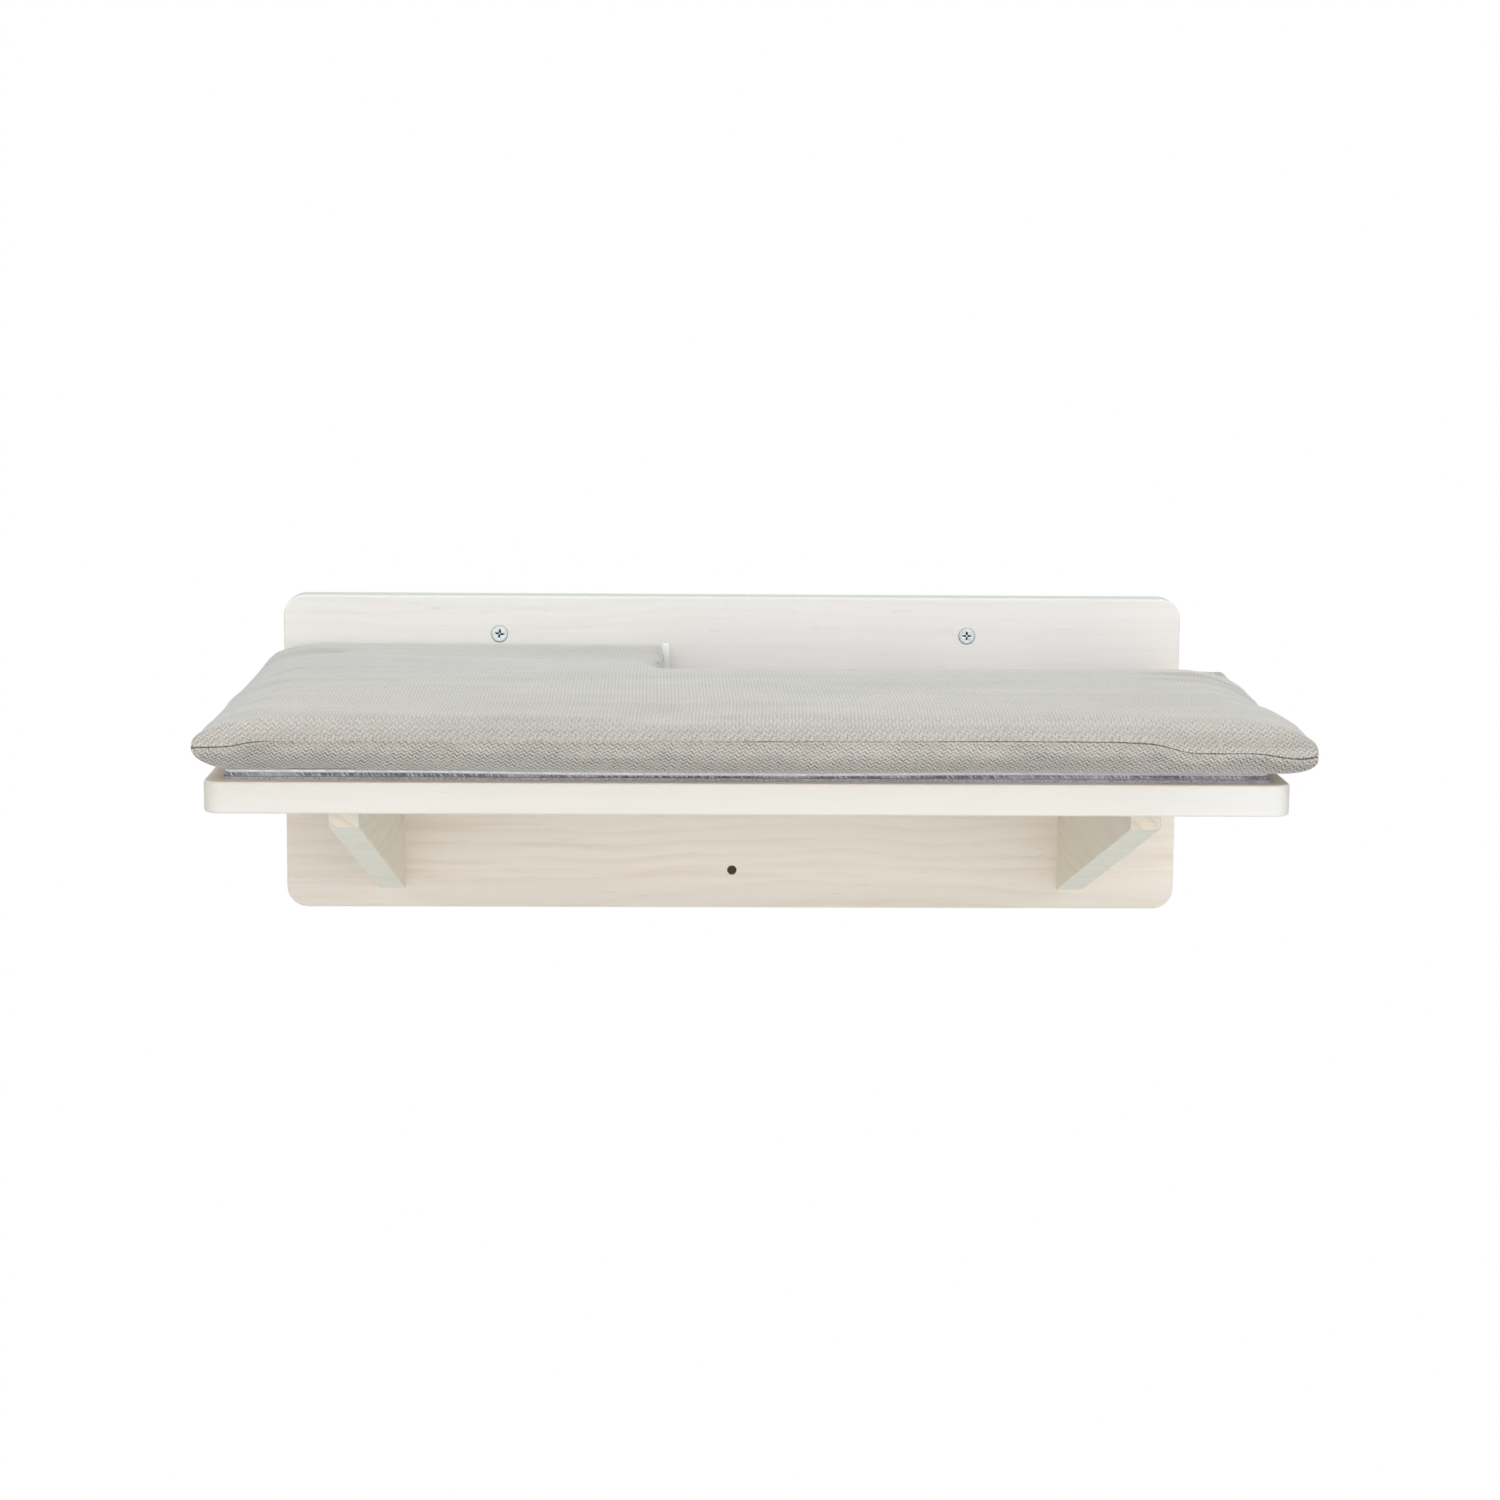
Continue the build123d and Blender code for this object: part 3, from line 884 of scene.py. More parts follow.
@dataclass
class Screw:
    """A countersunk screw with a cross recess, its head's face at the origin and its point at +Y."""

    head: float
    rim: float
    neck: float
    neck_end: float
    thread: float
    length: float
    point: float
    pitch: float
    recess_span: float = 5.0 * MM
    recess_width: float = 1.1 * MM
    recess_depth: float = 2.0 * MM
    recess_wall: float = 0.16 * MM
    recess_middle: float = 0.85 * MM
    rim_round: float = 0.12 * MM
    core_share: float = 0.36
    crest_slope: float = 3.4
    point_share: float = 0.06
    face_steps: int = 20
    sides: int = 48
    rows_a_turn: int = 8

    def recess(self, across: float, up: float) -> tuple[float, float]:
        """How deep the cross lies at a point of the face.

        Args:
            across: The point's place across the head.
            up: The point's place up the head.

        Returns:
            The depth, and the share of the dull inside colour with its painted shade there.
        """
        short, long = sorted((abs(across), abs(up)))
        reach = self.recess_span / 2
        half = self.recess_width / 2 * (1.06 - 0.3 * long / reach)
        inside = held((half - short) / self.recess_wall) * held((reach - long) / self.recess_wall)
        slope = 1 - 0.55 * long / reach
        middle = held((self.recess_middle - math.hypot(across, up)) / (0.3 * MM))
        return inside * self.recess_depth * slope * (1 - 0.97 * middle), inside * (1 - 0.9 * middle)

    def outline(self) -> list[tuple[float, float]]:
        """Draw the head and the plain neck.

        Returns:
            The radius and the place of each ring, from the face's middle outwards and then inwards.
        """
        radius, neck = self.head / 2, self.neck / 2
        cone = radius - neck
        rings = [(radius * step / self.face_steps, 0.0) for step in range(1, self.face_steps)]
        rings += [(radius - self.rim_round, 0.0), (radius, self.rim_round), (radius, self.rim)]
        rings += [(radius - cone * share, self.rim + cone * share) for share in (0.5, 1.0)]
        return rings + [(neck, self.neck_end - 1.0 * MM)]

    def thread_rings(self) -> list[list[float]]:
        """Wind the thread round its core, thinner towards the point.

        Returns:
            The radii of each row, a radius for each side.
        """
        core = self.thread * self.core_share
        height = self.thread / 2 - core
        places = self.thread_places()
        rings = []
        for place in places:
            taper = held((self.length - place) / self.point, self.point_share)
            phases = [(place / self.pitch - side / self.sides) % 1 for side in range(self.sides)]
            crests = [max(0.0, 1 - abs(phase - 0.5) * self.crest_slope) for phase in phases]
            rings.append([(core + height * crest) * taper for crest in crests])
        return rings

    def thread_places(self) -> list[float]:
        """Set out the thread's rows along the screw."""
        run = self.length - self.neck_end
        rows = int(run / self.pitch * self.rows_a_turn)
        return [self.neck_end + run * row / rows for row in range(rows)]

    def mesh(self) -> Mesh:
        """Turn the screw's outline, with its thread wound round it.

        Returns:
            The closed mesh, with the recess and the rim's painted shadow as attributes of its points.
        """
        rings = self.outline()
        turns = [FULL_TURN * side / self.sides for side in range(self.sides)]
        depth, share = self.recess(0.0, 0.0)
        points, shares = [(0.0, depth, 0.0)], [share]
        for number, (radius, place) in enumerate(rings):
            for turn in turns:
                across, up = radius * math.cos(turn), radius * math.sin(turn)
                depth, share = self.recess(across, up) if number < self.face_steps - 1 else (0.0, 0.0)
                points.append((across, place + depth, up))
                shares.append(share)
        places = self.thread_places()
        for place, radii in zip(places, self.thread_rings()):
            for radius, turn in zip(radii, turns):
                points.append((radius * math.cos(turn), place, radius * math.sin(turn)))
        points.append((0.0, self.length, 0.0))
        shares += [0.0] * (len(points) - len(shares))
        mesh = mesh_from(np.array(points), turned_faces(self.sides, len(rings) + len(places), True))
        mesh.attributes.new("recess", "FLOAT", "POINT").data.foreach_set("value", shares)
        rim = self.head / 2
        # the rim's painted shadow, at the head's edge and heaviest at its lower side
        rim_shadow_shares = [held((math.hypot(x, z) / rim - 0.88) / 0.08) * (0.62 - 0.38 * z / rim) for x, _, z in points]
        mesh.attributes.new("rim", "FLOAT", "POINT").data.foreach_set("value", rim_shadow_shares)
        return mesh


@dataclass
class ScrewRows:
    """Rows of the same screw, set out by a geometry node tree."""

    name: str
    screw: Screw
    nodes: tuple[str, ...]
    first: tuple[float, float, float]
    across: int
    across_step: float
    down: int = 1
    down_step: float = 0.0
    first_turn: float = 0.0
    turn_step: float = 0.0
    half_turn: bool = False

    def build(self, steel: Material) -> Piece:
        """Grow the rows, ride them on the platform and hide the plain solids.

        Args:
            steel: The screws' finish.

        Returns:
            The piece.
        """
        growth = Growth(self.name + "_rows")
        first = growth.size("First screw", "Vector", self.first)
        across = growth.size("Screws across", "Int", self.across)
        across_step = growth.size("Step across", "Float", self.across_step)
        down = growth.size("Screws down", "Int", self.down)
        down_step = growth.size("Step down", "Float", self.down_step)
        first_turn = growth.size("First turn", "Float", self.first_turn)
        turn_step = growth.size("Turn step", "Float", self.turn_step)
        row = growth.node(
            "GeometryNodeMeshLine",
            {"Count": across, "Start Location": first, "Offset": growth.vector(across_step, 0.0, 0.0)},
        )
        column = growth.node(
            "GeometryNodeMeshLine", {"Count": down, "Offset": growth.vector(0.0, 0.0, down_step)}
        )
        grid = growth.instances(row.outputs[0], column.outputs[0])
        places = growth.node("GeometryNodeRealizeInstances", {0: grid}).outputs[0]
        order = growth.node("GeometryNodeInputIndex").outputs[0]
        turn = growth.math("MULTIPLY_ADD", order, turn_step, first_turn)
        rotation = growth.vector(0.0, turn, math.pi if self.half_turn else 0.0)
        placed = growth.instances(places, growth.start.outputs["Geometry"], Rotation=rotation)
        growth.close(placed, steel)
        seed_piece = new_piece(self.name + "_seed", self.screw.mesh(), steel)
        piece = new_piece(self.name, growth.grow(seed_piece), steel)
        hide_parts(*self.nodes)
        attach(piece, PLATFORM)
        return piece


@dataclass
class Fasteners:
    """The wall screws in the back board, and the screws that join it to the shelf and brackets."""

    board_front: float = -15.0 * MM
    sunk_face: float = -0.5 * MM
    wall_screw_height: float = 68.0 * MM
    wall_screw_centre: float = 133.0 * MM
    shelf_screw_height: float = 30.5 * MM
    shelf_screw_centre: float = 170.0 * MM
    bracket_centre: float = 195.0 * MM
    bracket_screw_height: float = 1.0 * MM
    bracket_screw_spacing: float = 52.0 * MM

    def build(self) -> list[Piece]:
        """Build every row of screws.

        Returns:
            The pieces.
        """
        steel = ZincSteel().make()
        wall = Screw(
            head=9.2 * MM, rim=0.4 * MM, neck=3.4 * MM, neck_end=16.0 * MM,
            thread=4.5 * MM, length=50.0 * MM, point=7.0 * MM, pitch=1.9 * MM,
        )
        joining = Screw(
            head=8.0 * MM, rim=0.3 * MM, neck=2.9 * MM, neck_end=15.5 * MM,
            thread=4.0 * MM, length=45.0 * MM, point=5.0 * MM, pitch=2.0 * MM,
            recess_span=4.4 * MM, recess_width=1.0 * MM, sides=32, rows_a_turn=5,
        )
        rows = [
            ScrewRows(
                "wall_screws", wall, ("wall_screw_left", "wall_screw_right"),
                (-self.wall_screw_centre, self.board_front, self.wall_screw_height),
                2, 2 * self.wall_screw_centre, first_turn=math.radians(9), turn_step=math.radians(-8),
            ),
            ScrewRows(
                "shelf_joining_screws", joining, ("shelf_screws",),
                (-self.shelf_screw_centre, self.sunk_face, self.shelf_screw_height),
                3, self.shelf_screw_centre, first_turn=0.3, turn_step=0.7, half_turn=True,
            ),
            ScrewRows(
                "bracket_joining_screws", joining, ("bracket_screws",),
                (-self.bracket_centre, self.sunk_face, self.bracket_screw_height),
                2, 2 * self.bracket_centre, down=2, down_step=-self.bracket_screw_spacing,
                first_turn=0.1, turn_step=0.5, half_turn=True,
            ),
        ]
        return [row.build(steel) for row in rows]


@dataclass
class Mat:
    """The plush mat: its knitted backing, and the pile with its loose fibres."""

    width: float = 490.8 * MM
    front: float = -351.4 * MM
    rear: float = -18.6 * MM
    low: float = 39.3 * MM
    high: float = 43.3 * MM
    corner: float = 4.0 * MM
    easing: float = 1.1 * MM
    column_step: float = 0.9 * MM
    ripple: float = 0.22 * MM
    ripple_foot: float = 0.8 * MM
    ripple_end: float = 2.0 * MM
    top_wave: float = 0.12 * MM
    under_inset: float = 0.3 * MM
    tuck: float = 0.1 * MM
    corner_steps: int = 6
    side_shares: tuple[float, ...] = (0.12, 0.28, 0.44, 0.6)
    easing_turns: tuple[float, ...] = (0.0, 0.4, 0.8, 1.2, math.pi / 2)
    insets: tuple[float, ...] = (2.2, 4, 7, 12, 20, 32, 48, 66, 84, 102, 120, 136, 150, 160)
    fibre_length: float = 1.0 * MM
    fibre_radius: float = 0.1 * MM
    edge_fibres: float = 420000.0
    top_fibres: float = 26000.0
    fibre_lean: float = 0.75
    seed: int = 11

    def outline(self) -> tuple[np.ndarray, np.ndarray]:
        """Walk round the mat's edge.

        Returns:
            The points of the walk, and the outward direction at each.
        """
        half, depth = self.width / 2 - self.corner, (self.rear - self.front) / 2 - self.corner
        middle = (self.rear + self.front) / 2
        points, outward = [], []
        sides = (
            ((half, -depth), (1, 0), 2 * depth, (0, 1)),
            ((half, depth), (0, 1), 2 * half, (-1, 0)),
            ((-half, depth), (-1, 0), 2 * depth, (0, -1)),
            ((-half, -depth), (0, -1), 2 * half, (1, 0)),
        )
        for (x, y), (nx, ny), length, (dx, dy) in sides:
            count = int(length / self.column_step)
            for step in range(count):
                way = length * step / count
                points.append((x + nx * self.corner + dx * way, y + ny * self.corner + dy * way + middle))
                outward.append((nx, ny))
            for step in range(self.corner_steps):
                angle = math.atan2(ny, nx) + math.pi / 2 * step / self.corner_steps
                out = (math.cos(angle), math.sin(angle))
                end = (x + dx * length, y + dy * length)
                points.append((end[0] + out[0] * self.corner, end[1] + out[1] * self.corner + middle))
                outward.append(out)
        return np.array(points), np.array(outward)

    def pile_mesh(self) -> Mesh:
        """Build the pile's rippled slab.

        Returns:
            The closed mesh.
        """
        edge, out = self.outline()
        height = self.high - self.low
        rows = [(self.under_inset, 0.0)] + [(0.0, height * share) for share in self.side_shares]
        rows += [
            (self.easing * (1 - math.cos(turn)), height - self.easing * (1 - math.sin(turn)))
            for turn in self.easing_turns
        ]
        rows += [(inset * MM, height) for inset in self.insets]
        half_depth = (self.rear - self.front) / 2
        middle = (self.rear + self.front) / 2
        points = []
        for inset, rise in rows:
            shrunk = edge - out * inset
            limit_x, limit_y = self.width / 2 - inset, half_depth - inset
            shrunk[:, 0] = np.clip(shrunk[:, 0], -limit_x, limit_x)
            shrunk[:, 1] = np.clip(shrunk[:, 1] - middle, -limit_y, limit_y) + middle
            ripple = self.ripple if inset < self.ripple_end else 0.0
            for (x, y), (nx, ny) in zip(shrunk, out):
                wave = noise.noise(Vector((x * 700, y * 700, rise * 160)))
                slow = noise.noise(Vector((x * 45, y * 45, 3.1)))
                push = ripple * (wave + 0.5 * slow) * min(rise / self.ripple_foot, 1) - self.tuck
                lift = self.top_wave * slow if rise > height * 0.7 else 0.0
                level = self.low + rise + lift - self.tuck * (rise > 0)
                points.append((x + nx * push, y + ny * push, level))
        count = len(edge)
        faces = []
        for row in range(len(rows) - 1):
            for column in range(count):
                after = (column + 1) % count
                low, high = row * count, (row + 1) * count
                faces.append((low + column, low + after, high + after, high + column))
        faces.append(tuple(reversed(range(count))))
        last = (len(rows) - 1) * count
        faces.append(tuple(last + column for column in range(count)))
        return mesh_from(np.array(points), faces)

    def fibres(self, slab: Mesh, plush: Material) -> Mesh:
        """Stand short fibres on the slab's sides and top.

        Args:
            slab: The pile's slab.
            plush: The finish.

        Returns:
            The slab and its fibres as one mesh.
        """
        growth = Growth("plush_fibres")
        length = growth.size("Fibre length", "Float", self.fibre_length)
        radius = growth.size("Fibre radius", "Float", self.fibre_radius)
        edge_count = growth.size("Fibres a square metre at the edge", "Float", self.edge_fibres)
        top_count = growth.size("Fibres a square metre on top", "Float", self.top_fibres)
        lean = growth.size("Lean", "Float", self.fibre_lean)
        seed = growth.size("Seed", "Int", self.seed)
        _, _, up = growth.parts(growth.node("GeometryNodeInputNormal").outputs[0])
        on_edge = growth.math("LESS_THAN", growth.math("ABSOLUTE", up), 0.8)
        on_top = growth.math("GREATER_THAN", up, 0.8)
        density = growth.plus(growth.times(on_edge, edge_count), growth.times(on_top, top_count))
        spread = growth.node(
            "GeometryNodeDistributePointsOnFaces",
            {"Mesh": growth.start.outputs["Geometry"], "Density": density, "Seed": seed},
        )
        fibre = growth.node(
            "GeometryNodeMeshCone",
            {"Vertices": 3, "Radius Bottom": radius, "Radius Top": 0.0, "Depth": length},
            fill_type="NONE",
        )
        back = growth.times(lean, -1.0)
        tilt = growth.node(
            "FunctionNodeRandomValue",
            {"Min": growth.vector(back, back, 0.0), "Max": growth.vector(lean, lean, 3.0), "Seed": seed},
            data_type="FLOAT_VECTOR",
        )
        turned = growth.node(
            "FunctionNodeRotateRotation",
            {0: spread.outputs["Rotation"], 1: tilt.outputs[0]},
            rotation_space="LOCAL",
        )
        scale = growth.node(
            "FunctionNodeRandomValue", {2: 0.6, 3: 1.25, "Seed": seed}, data_type="FLOAT"
        )
        size = scale.outputs[1]
        standing = growth.instances(
            spread.outputs[0], fibre.outputs[0],
            Rotation=turned.outputs[0], Scale=growth.vector(size, size, size),
        )
        both = growth.node("GeometryNodeJoinGeometry")
        growth.feed(both.inputs[0], growth.start.outputs["Geometry"])
        growth.feed(both.inputs[0], standing)
        growth.close(both.outputs[0], plush)
        return growth.grow(new_piece("plush_seed", slab, plush))

    def build(self) -> Piece:
        """Build the pile, dress the backing and ride the pile on the platform.

        Returns:
            The pile.
        """
        dress("mat_backing", MatBacking().make())
        plush = PlushPile().make()
        piece = new_piece("plush_pile", self.fibres(self.pile_mesh(), plush), plush)
        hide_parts("mat_pile")
        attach(piece, PLATFORM)
        return piece


def ease(value: float) -> float:
    """Ease a share from 0 to 1, held at its ends."""
    share = held(value)
    return share * share * (3 - 2 * share)


def over(span: Span, value: float) -> float:
    """Ease from 0 to 1 as a value crosses a span."""
    start, end = span
    return ease((value - start) / (end - start))


def ridge(value: float, middle: float, width: float) -> float:
    """Rise to 1 at a middle and die away on both sides of it."""
    return math.exp(-(((value - middle) / width) ** 2))


def through(places: Curve, value: float) -> float:
    """Follow a smooth line through a few set places.

    Args:
        places: Pairs of a place and the line's value there, in order.
        value: Where to read the line.

    Returns:
        The line's value.
    """
    if value <= places[0][0]:
        return places[0][1]
    for (low, start), (high, end) in zip(places, places[1:]):
        if value <= high:
            return start + (end - start) * ease((value - low) / (high - low))
    return places[-1][1]


@dataclass
class Cushion:
    """The loose cushion: two cut pieces of cloth, seamed all round, with a cut-out at the rear right.

    Its sizes and places are in millimetres.
    """

    left: float = -259.0
    right: float = 265.0
    front: float = -372.0
    rear: float = -16.5
    notch_side: float = -40.2
    notch_rear: float = -91.5
    underside: float = 43.35
    seam: float = 57.8
    front_rise: float = 23.6
    rear_rise: float = 20.1
    crown: float = 3.6
    fall: float = 11.0
    fall_length: float = 105.0
    fall_width: tuple[float, float] = (0.8, 0.25)
    front_roll: float = 20.0
    rear_roll: float = 13.0
    end_roll: float = 32.0
    notch_roll: tuple[float, float] = (0.9, 15.0)
    under_notch_roll: tuple[float, float] = (4.0, 10.0)
    under_roll: float = 13.0
    under_end_roll: float = 15.0
    under_end_fullness: tuple[float, float] = (1.2, 0.8)
    under_front_fullness: float = 0.9
    fullness: float = 0.85
    end_fullness: Curve = ((-372, 0.65), (-345, 0.92), (-300, 1.42), (-16, 1.6))
    under_front: Curve = (
        (-250, 21), (-140, 18), (-70, 14), (0, 11), (70, 12), (140, 17), (211, 14), (255, 16),
    )
    step: float = 6.0
    roll_shares: tuple[float, ...] = (0, 0.01, 0.045, 0.1, 0.17, 0.25, 0.34, 0.44, 0.55, 0.67, 0.8)
    beside_notch: tuple[float, ...] = (6.5, 4.2, 2.2)
    past_notch: float = 1.5
    corner_round: float = 16.0
    left_edge: Curve = (
        (-372, 0.5), (-330, 1.2), (-285, 1.4), (-226, 0.6), (-180, 1.7), (-95, 1.0), (-60, 0.4), (-16, 0.6),
    )
    right_edge: Curve = (
        (-372, 0.6), (-345, 0.6), (-311, 1.6), (-288, 0.6), (-256, -5.6), (-212, -2.4), (-160, 0.3),
        (-92, -0.3),
    )
    edge_reach: float = 70.0
    front_seam: Curve = (
        (-259, -2.2), (-245, -1.8), (-226, 1.0), (-190, 1.5), (-60, 1.9), (60, 2.0), (110, 2.4),
        (170, 2.4), (184, 1.7), (208, -2.8), (232, -2.9), (256, -5.6), (265, -4.6),
    )
    droop_reach: float = 60.0
    wide_slope: float = 190.0
    wide_share: float = 0.36
    wide_reach: float = 75.0
    level_from: Span = (110, 200)
    level_share: float = 0.26
    front_bow: float = 0.5
    bow_length: float = 46.0
    bow_reach: float = 40.0
    corner_pull: float = 0.29
    cut_start: float = -400.0
    lower_cloth: tuple[float, float] = (0.0711, 0.9377)
    frill_starts: Span = (228, 242)
    frill_ends: Span = (262, 270)
    frill_line: tuple[float, float] = (-103, 11)
    pucker_starts: Span = (-20, 20)
    pucker_line: tuple[float, float] = (-101, 9)
    fold_starts: Span = (196, 230)
    fold_fades: Span = (252, 262)
    folds: tuple[tuple[float, float, float], ...] = ((-203, 1.5, 5.0), (-229, 1.2, 4.5))
    fold_slant: float = 0.22
    fold_middle: float = 235.0
    groove_depth: tuple[float, float] = (0.1, 1.3)
    seam_left: Span = (-236, -210)
    seam_right: tuple[Span, Span] = ((-60, 10), (40, 170))
    side_seam: float = 0.8
    side_seam_from: float = 12.0
    thread_out: float = 0.5
    thread_hidden: float = 1.8
    seam_sharpness: float = 0.85
    pinned_rise: float = 0.4
    swell_limit: float = 1.2
    end_swell: float = 0.15
    end_reach: float = 30.0
    pressure: float = 4.0
    sim_frames: int = 20
    cloth_settings: tuple[tuple[str, float], ...] = (
        ("quality", 6), ("mass", 0.25), ("tension_stiffness", 8), ("compression_stiffness", 8),
        ("shear_stiffness", 4), ("bending_stiffness", 0.6), ("shrink_min", -0.006),
    )
    stitch_line: list[Vector] = field(default_factory=list)

    def lines(self) -> tuple[np.ndarray, np.ndarray, int, int]:
        """Set out the cloth's grid, closer at every edge.

        Returns:
            The places across, the places from front to rear, and where the cut-out's two lines are.
        """
        shares = np.array(self.roll_shares)

        def roll(size: float) -> np.ndarray:
            """The reaches of the grid's lines over one rolled edge."""
            return size * (1 - np.cos(shares * math.pi / 2))

        def run(start: float, end: float) -> np.ndarray:
            """Even lines between two places, both left out."""
            count = max(int(abs(end - start) / self.step), 1)
            return np.linspace(start, end, count + 1)[1:-1]

        ends, fronts, rears = roll(self.end_roll), roll(self.front_roll), roll(self.rear_roll)
        beside, before = (roll(size) for size in self.notch_roll)
        past = self.notch_side + self.past_notch
        left_part = np.concatenate([
            self.left + ends,
            run(self.left + ends[-1], self.notch_side - self.beside_notch[0]),
            self.notch_side - np.array(self.beside_notch),
            self.notch_side - beside[::-1],
        ])
        right_part = np.concatenate([
            [past], run(past, self.right - ends[-1]), self.right - ends[::-1]
        ])
        front_part = np.concatenate([
            self.front + fronts,
            run(self.front + fronts[-1], self.notch_rear - before[-1]),
            self.notch_rear - before[::-1],
        ])
        rear_part = np.concatenate([
            run(self.notch_rear, self.rear - rears[-1]), self.rear - rears[::-1]
        ])
        return (
            np.concatenate([left_part, right_part]),
            np.concatenate([front_part, rear_part]),
            len(left_part) - 1,
            len(front_part) - 1,
        )

    def full(self, reach: float, roll: float, fullness: float | None = None) -> float:
        """How full a rolled edge is at a reach from it, from 0 at the seam to 1."""
        way = held(reach / roll)
        return (1 - (1 - way) ** 2) ** ((fullness or self.fullness) / 2)

    def joined(self, *fulls: float) -> float:
        """Join how full neighbouring rolled edges are, so that they meet in a blunt corner."""
        if min(fulls) <= 0:
            return 0.0
        return (sum(full ** -4 for full in fulls) - len(fulls) + 1) ** -0.25

    def notch_full(self, x: float, y: float, rolls: tuple[float, float]) -> float:
        """How full the cushion is beside the cut-out.

        Args:
            x: The place across.
            y: The place from the wall.
            rolls: The reach of the rolled edges beside and before the cut-out.

        Returns:
            The fullness, from 0 at the seam to 1.
        """
        beside = max(self.notch_side - x, 0.0) / rolls[0]
        before = max(self.notch_rear - y, 0.0) / rolls[1]
        if beside == 0 and before == 0:
            return 0.0
        return self.full(math.hypot(beside, before), 1.0)

    def seam_height(self, x: float, y: float) -> float:
        """The seam's height, which droops at the front corners."""
        near_front = 1 - ease((y - self.front) / self.droop_reach)
        return self.seam + near_front * through(self.front_seam, x)

    def top_height(self, x: float, y: float) -> float:
        """The top's height away from its edges, which falls off in front of the cut-out.

        Args:
            x: The place across.
            y: The place from the wall.

        Returns:
            The height.
        """
        first, last = self.front + self.front_roll, self.rear - self.rear_roll
        way = held((y - first) / (last - first))
        level = self.front_rise + (self.rear_rise - self.front_rise) * way + 4 * self.crown * way * (1 - way)
        least, widening = self.fall_width
        width = least + widening * max(self.notch_rear - y, 0.0)
        wide = self.wide_share * (1 - ease((y - self.notch_rear) / self.wide_reach))
        near = (1 - wide) * ease((x - self.notch_side + width) / width)
        near += wide * ease((x - self.notch_side + self.wide_slope) / self.wide_slope)
        gone = held(1 - (self.notch_rear - self.notch_roll[1] - y) / self.fall_length)
        fall = self.fall * (1 - self.level_share * over(self.level_from, x))
        return self.underside + level - near * fall * gone ** 2

    def heights(self, x: float, y: float) -> tuple[float, float]:
        """The top and the underside at one place.

        Args:
            x: The place across.
            y: The place from the wall.

        Returns:
            The two heights.
        """
        rear_reach = self.rear - y
        end_fullness = through(self.end_fullness, y)
        top_full = (
            self.joined(
                self.full(y - self.front, self.front_roll),
                self.full(x - self.left, self.end_roll, end_fullness),
                self.full(self.right - x, self.end_roll, end_fullness),
            )
            * self.full(rear_reach, self.rear_roll)
            * self.notch_full(x, y, self.notch_roll)
        )
        under_full = (
            self.joined(
                self.full(y - self.front, through(self.under_front, x), self.under_front_fullness),
                self.full(x - self.left, self.under_end_roll, self.under_end_fullness[0]),
                self.full(self.right - x, self.under_end_roll, self.under_end_fullness[1]),
            )
            * self.full(rear_reach, self.under_roll)
            * self.notch_full(x, y, self.under_notch_roll)
        )
        seam = self.seam_height(x, y)
        top = seam + top_full * (self.top_height(x, y) - seam)
        return top, seam - under_full * (seam - self.underside)

    def plan(self, x: float, y: float) -> tuple[float, float]:
        """Draw the sides in between the corners, and round the corners.

        Args:
            x: The place across on the straight cut.
            y: The place from the wall.

        Returns:
            The place on the sewn cushion.
        """
        near_left = 1 - ease((x - self.left) / self.edge_reach)
        near_right = 1 - ease((self.right - x) / self.edge_reach)
        moved = x + near_left * through(self.left_edge, y) + near_right * through(self.right_edge, y)
        near_front = 1 - ease((y - self.front) / self.bow_reach)
        bowed = y + self.front_bow * math.sin(x / self.bow_length) * near_front
        corners = (
            (self.left, self.front, 1, 1, 0.08), (self.right, self.front, -1, 1, 0.25),
            (self.left, self.rear, 1, -1, 0.2), (self.right, self.notch_rear, -1, -1, 0.35),
        )
        for corner_x, corner_y, side, way, amount in corners:
            past_x = held((x - corner_x) * side / self.corner_round)
            past_y = held((y - corner_y) * way / self.corner_round)
            pull = self.corner_pull * self.corner_round * amount * (1 - past_x) ** 2 * (1 - past_y) ** 2
            moved += side * pull
            bowed += way * pull
        return moved, bowed

    def grid(self) -> tuple[np.ndarray, list, list[int], np.ndarray]:
        """Lay both sheets of cloth over the filling.

        Returns:
            The points in millimetres, the faces, the seam's points in order, and the flat cut's map.
        """
        across, along, side, rear = self.lines()
        points: list[tuple[float, float, float]] = []
        top: dict[tuple[int, int], int] = {}
        under: dict[tuple[int, int], int] = {}
        last_x, last_y = len(across) - 1, len(along) - 1
        for i, x in enumerate(across):
            for j, y in enumerate(along):
                if i > side and j > rear:
                    continue
                on_notch = (i == side and j >= rear) or (j == rear and i >= side)
                on_seam = i in (0, last_x) or j in (0, last_y) or on_notch
                place = self.plan(x, y)
                high, low = self.heights(x, y)
                top[i, j] = len(points)
                points.append((*place, high))
                if on_seam:
                    under[i, j] = top[i, j]
                else:
                    under[i, j] = len(points)
                    points.append((*place, low))
        faces = []
        for i in range(last_x):
            for j in range(last_y):
                if i >= side and j >= rear:
                    continue
                cell = ((i, j), (i + 1, j), (i + 1, j + 1), (i, j + 1))
                faces.append(tuple(top[corner] for corner in cell))
                faces.append(tuple(under[corner] for corner in reversed(cell)))
        walk = [(i, 0) for i in range(last_x)] + [(last_x, j) for j in range(rear)]
        walk += [(i, rear) for i in range(last_x, side, -1)] + [(side, j) for j in range(rear, last_y)]
        walk += [(i, last_y) for i in range(side, 0, -1)] + [(0, j) for j in range(last_y, 0, -1)]
        flat = self.flat_map(np.array(points), top, under)
        return np.array(points), faces, [top[corner] for corner in walk], flat

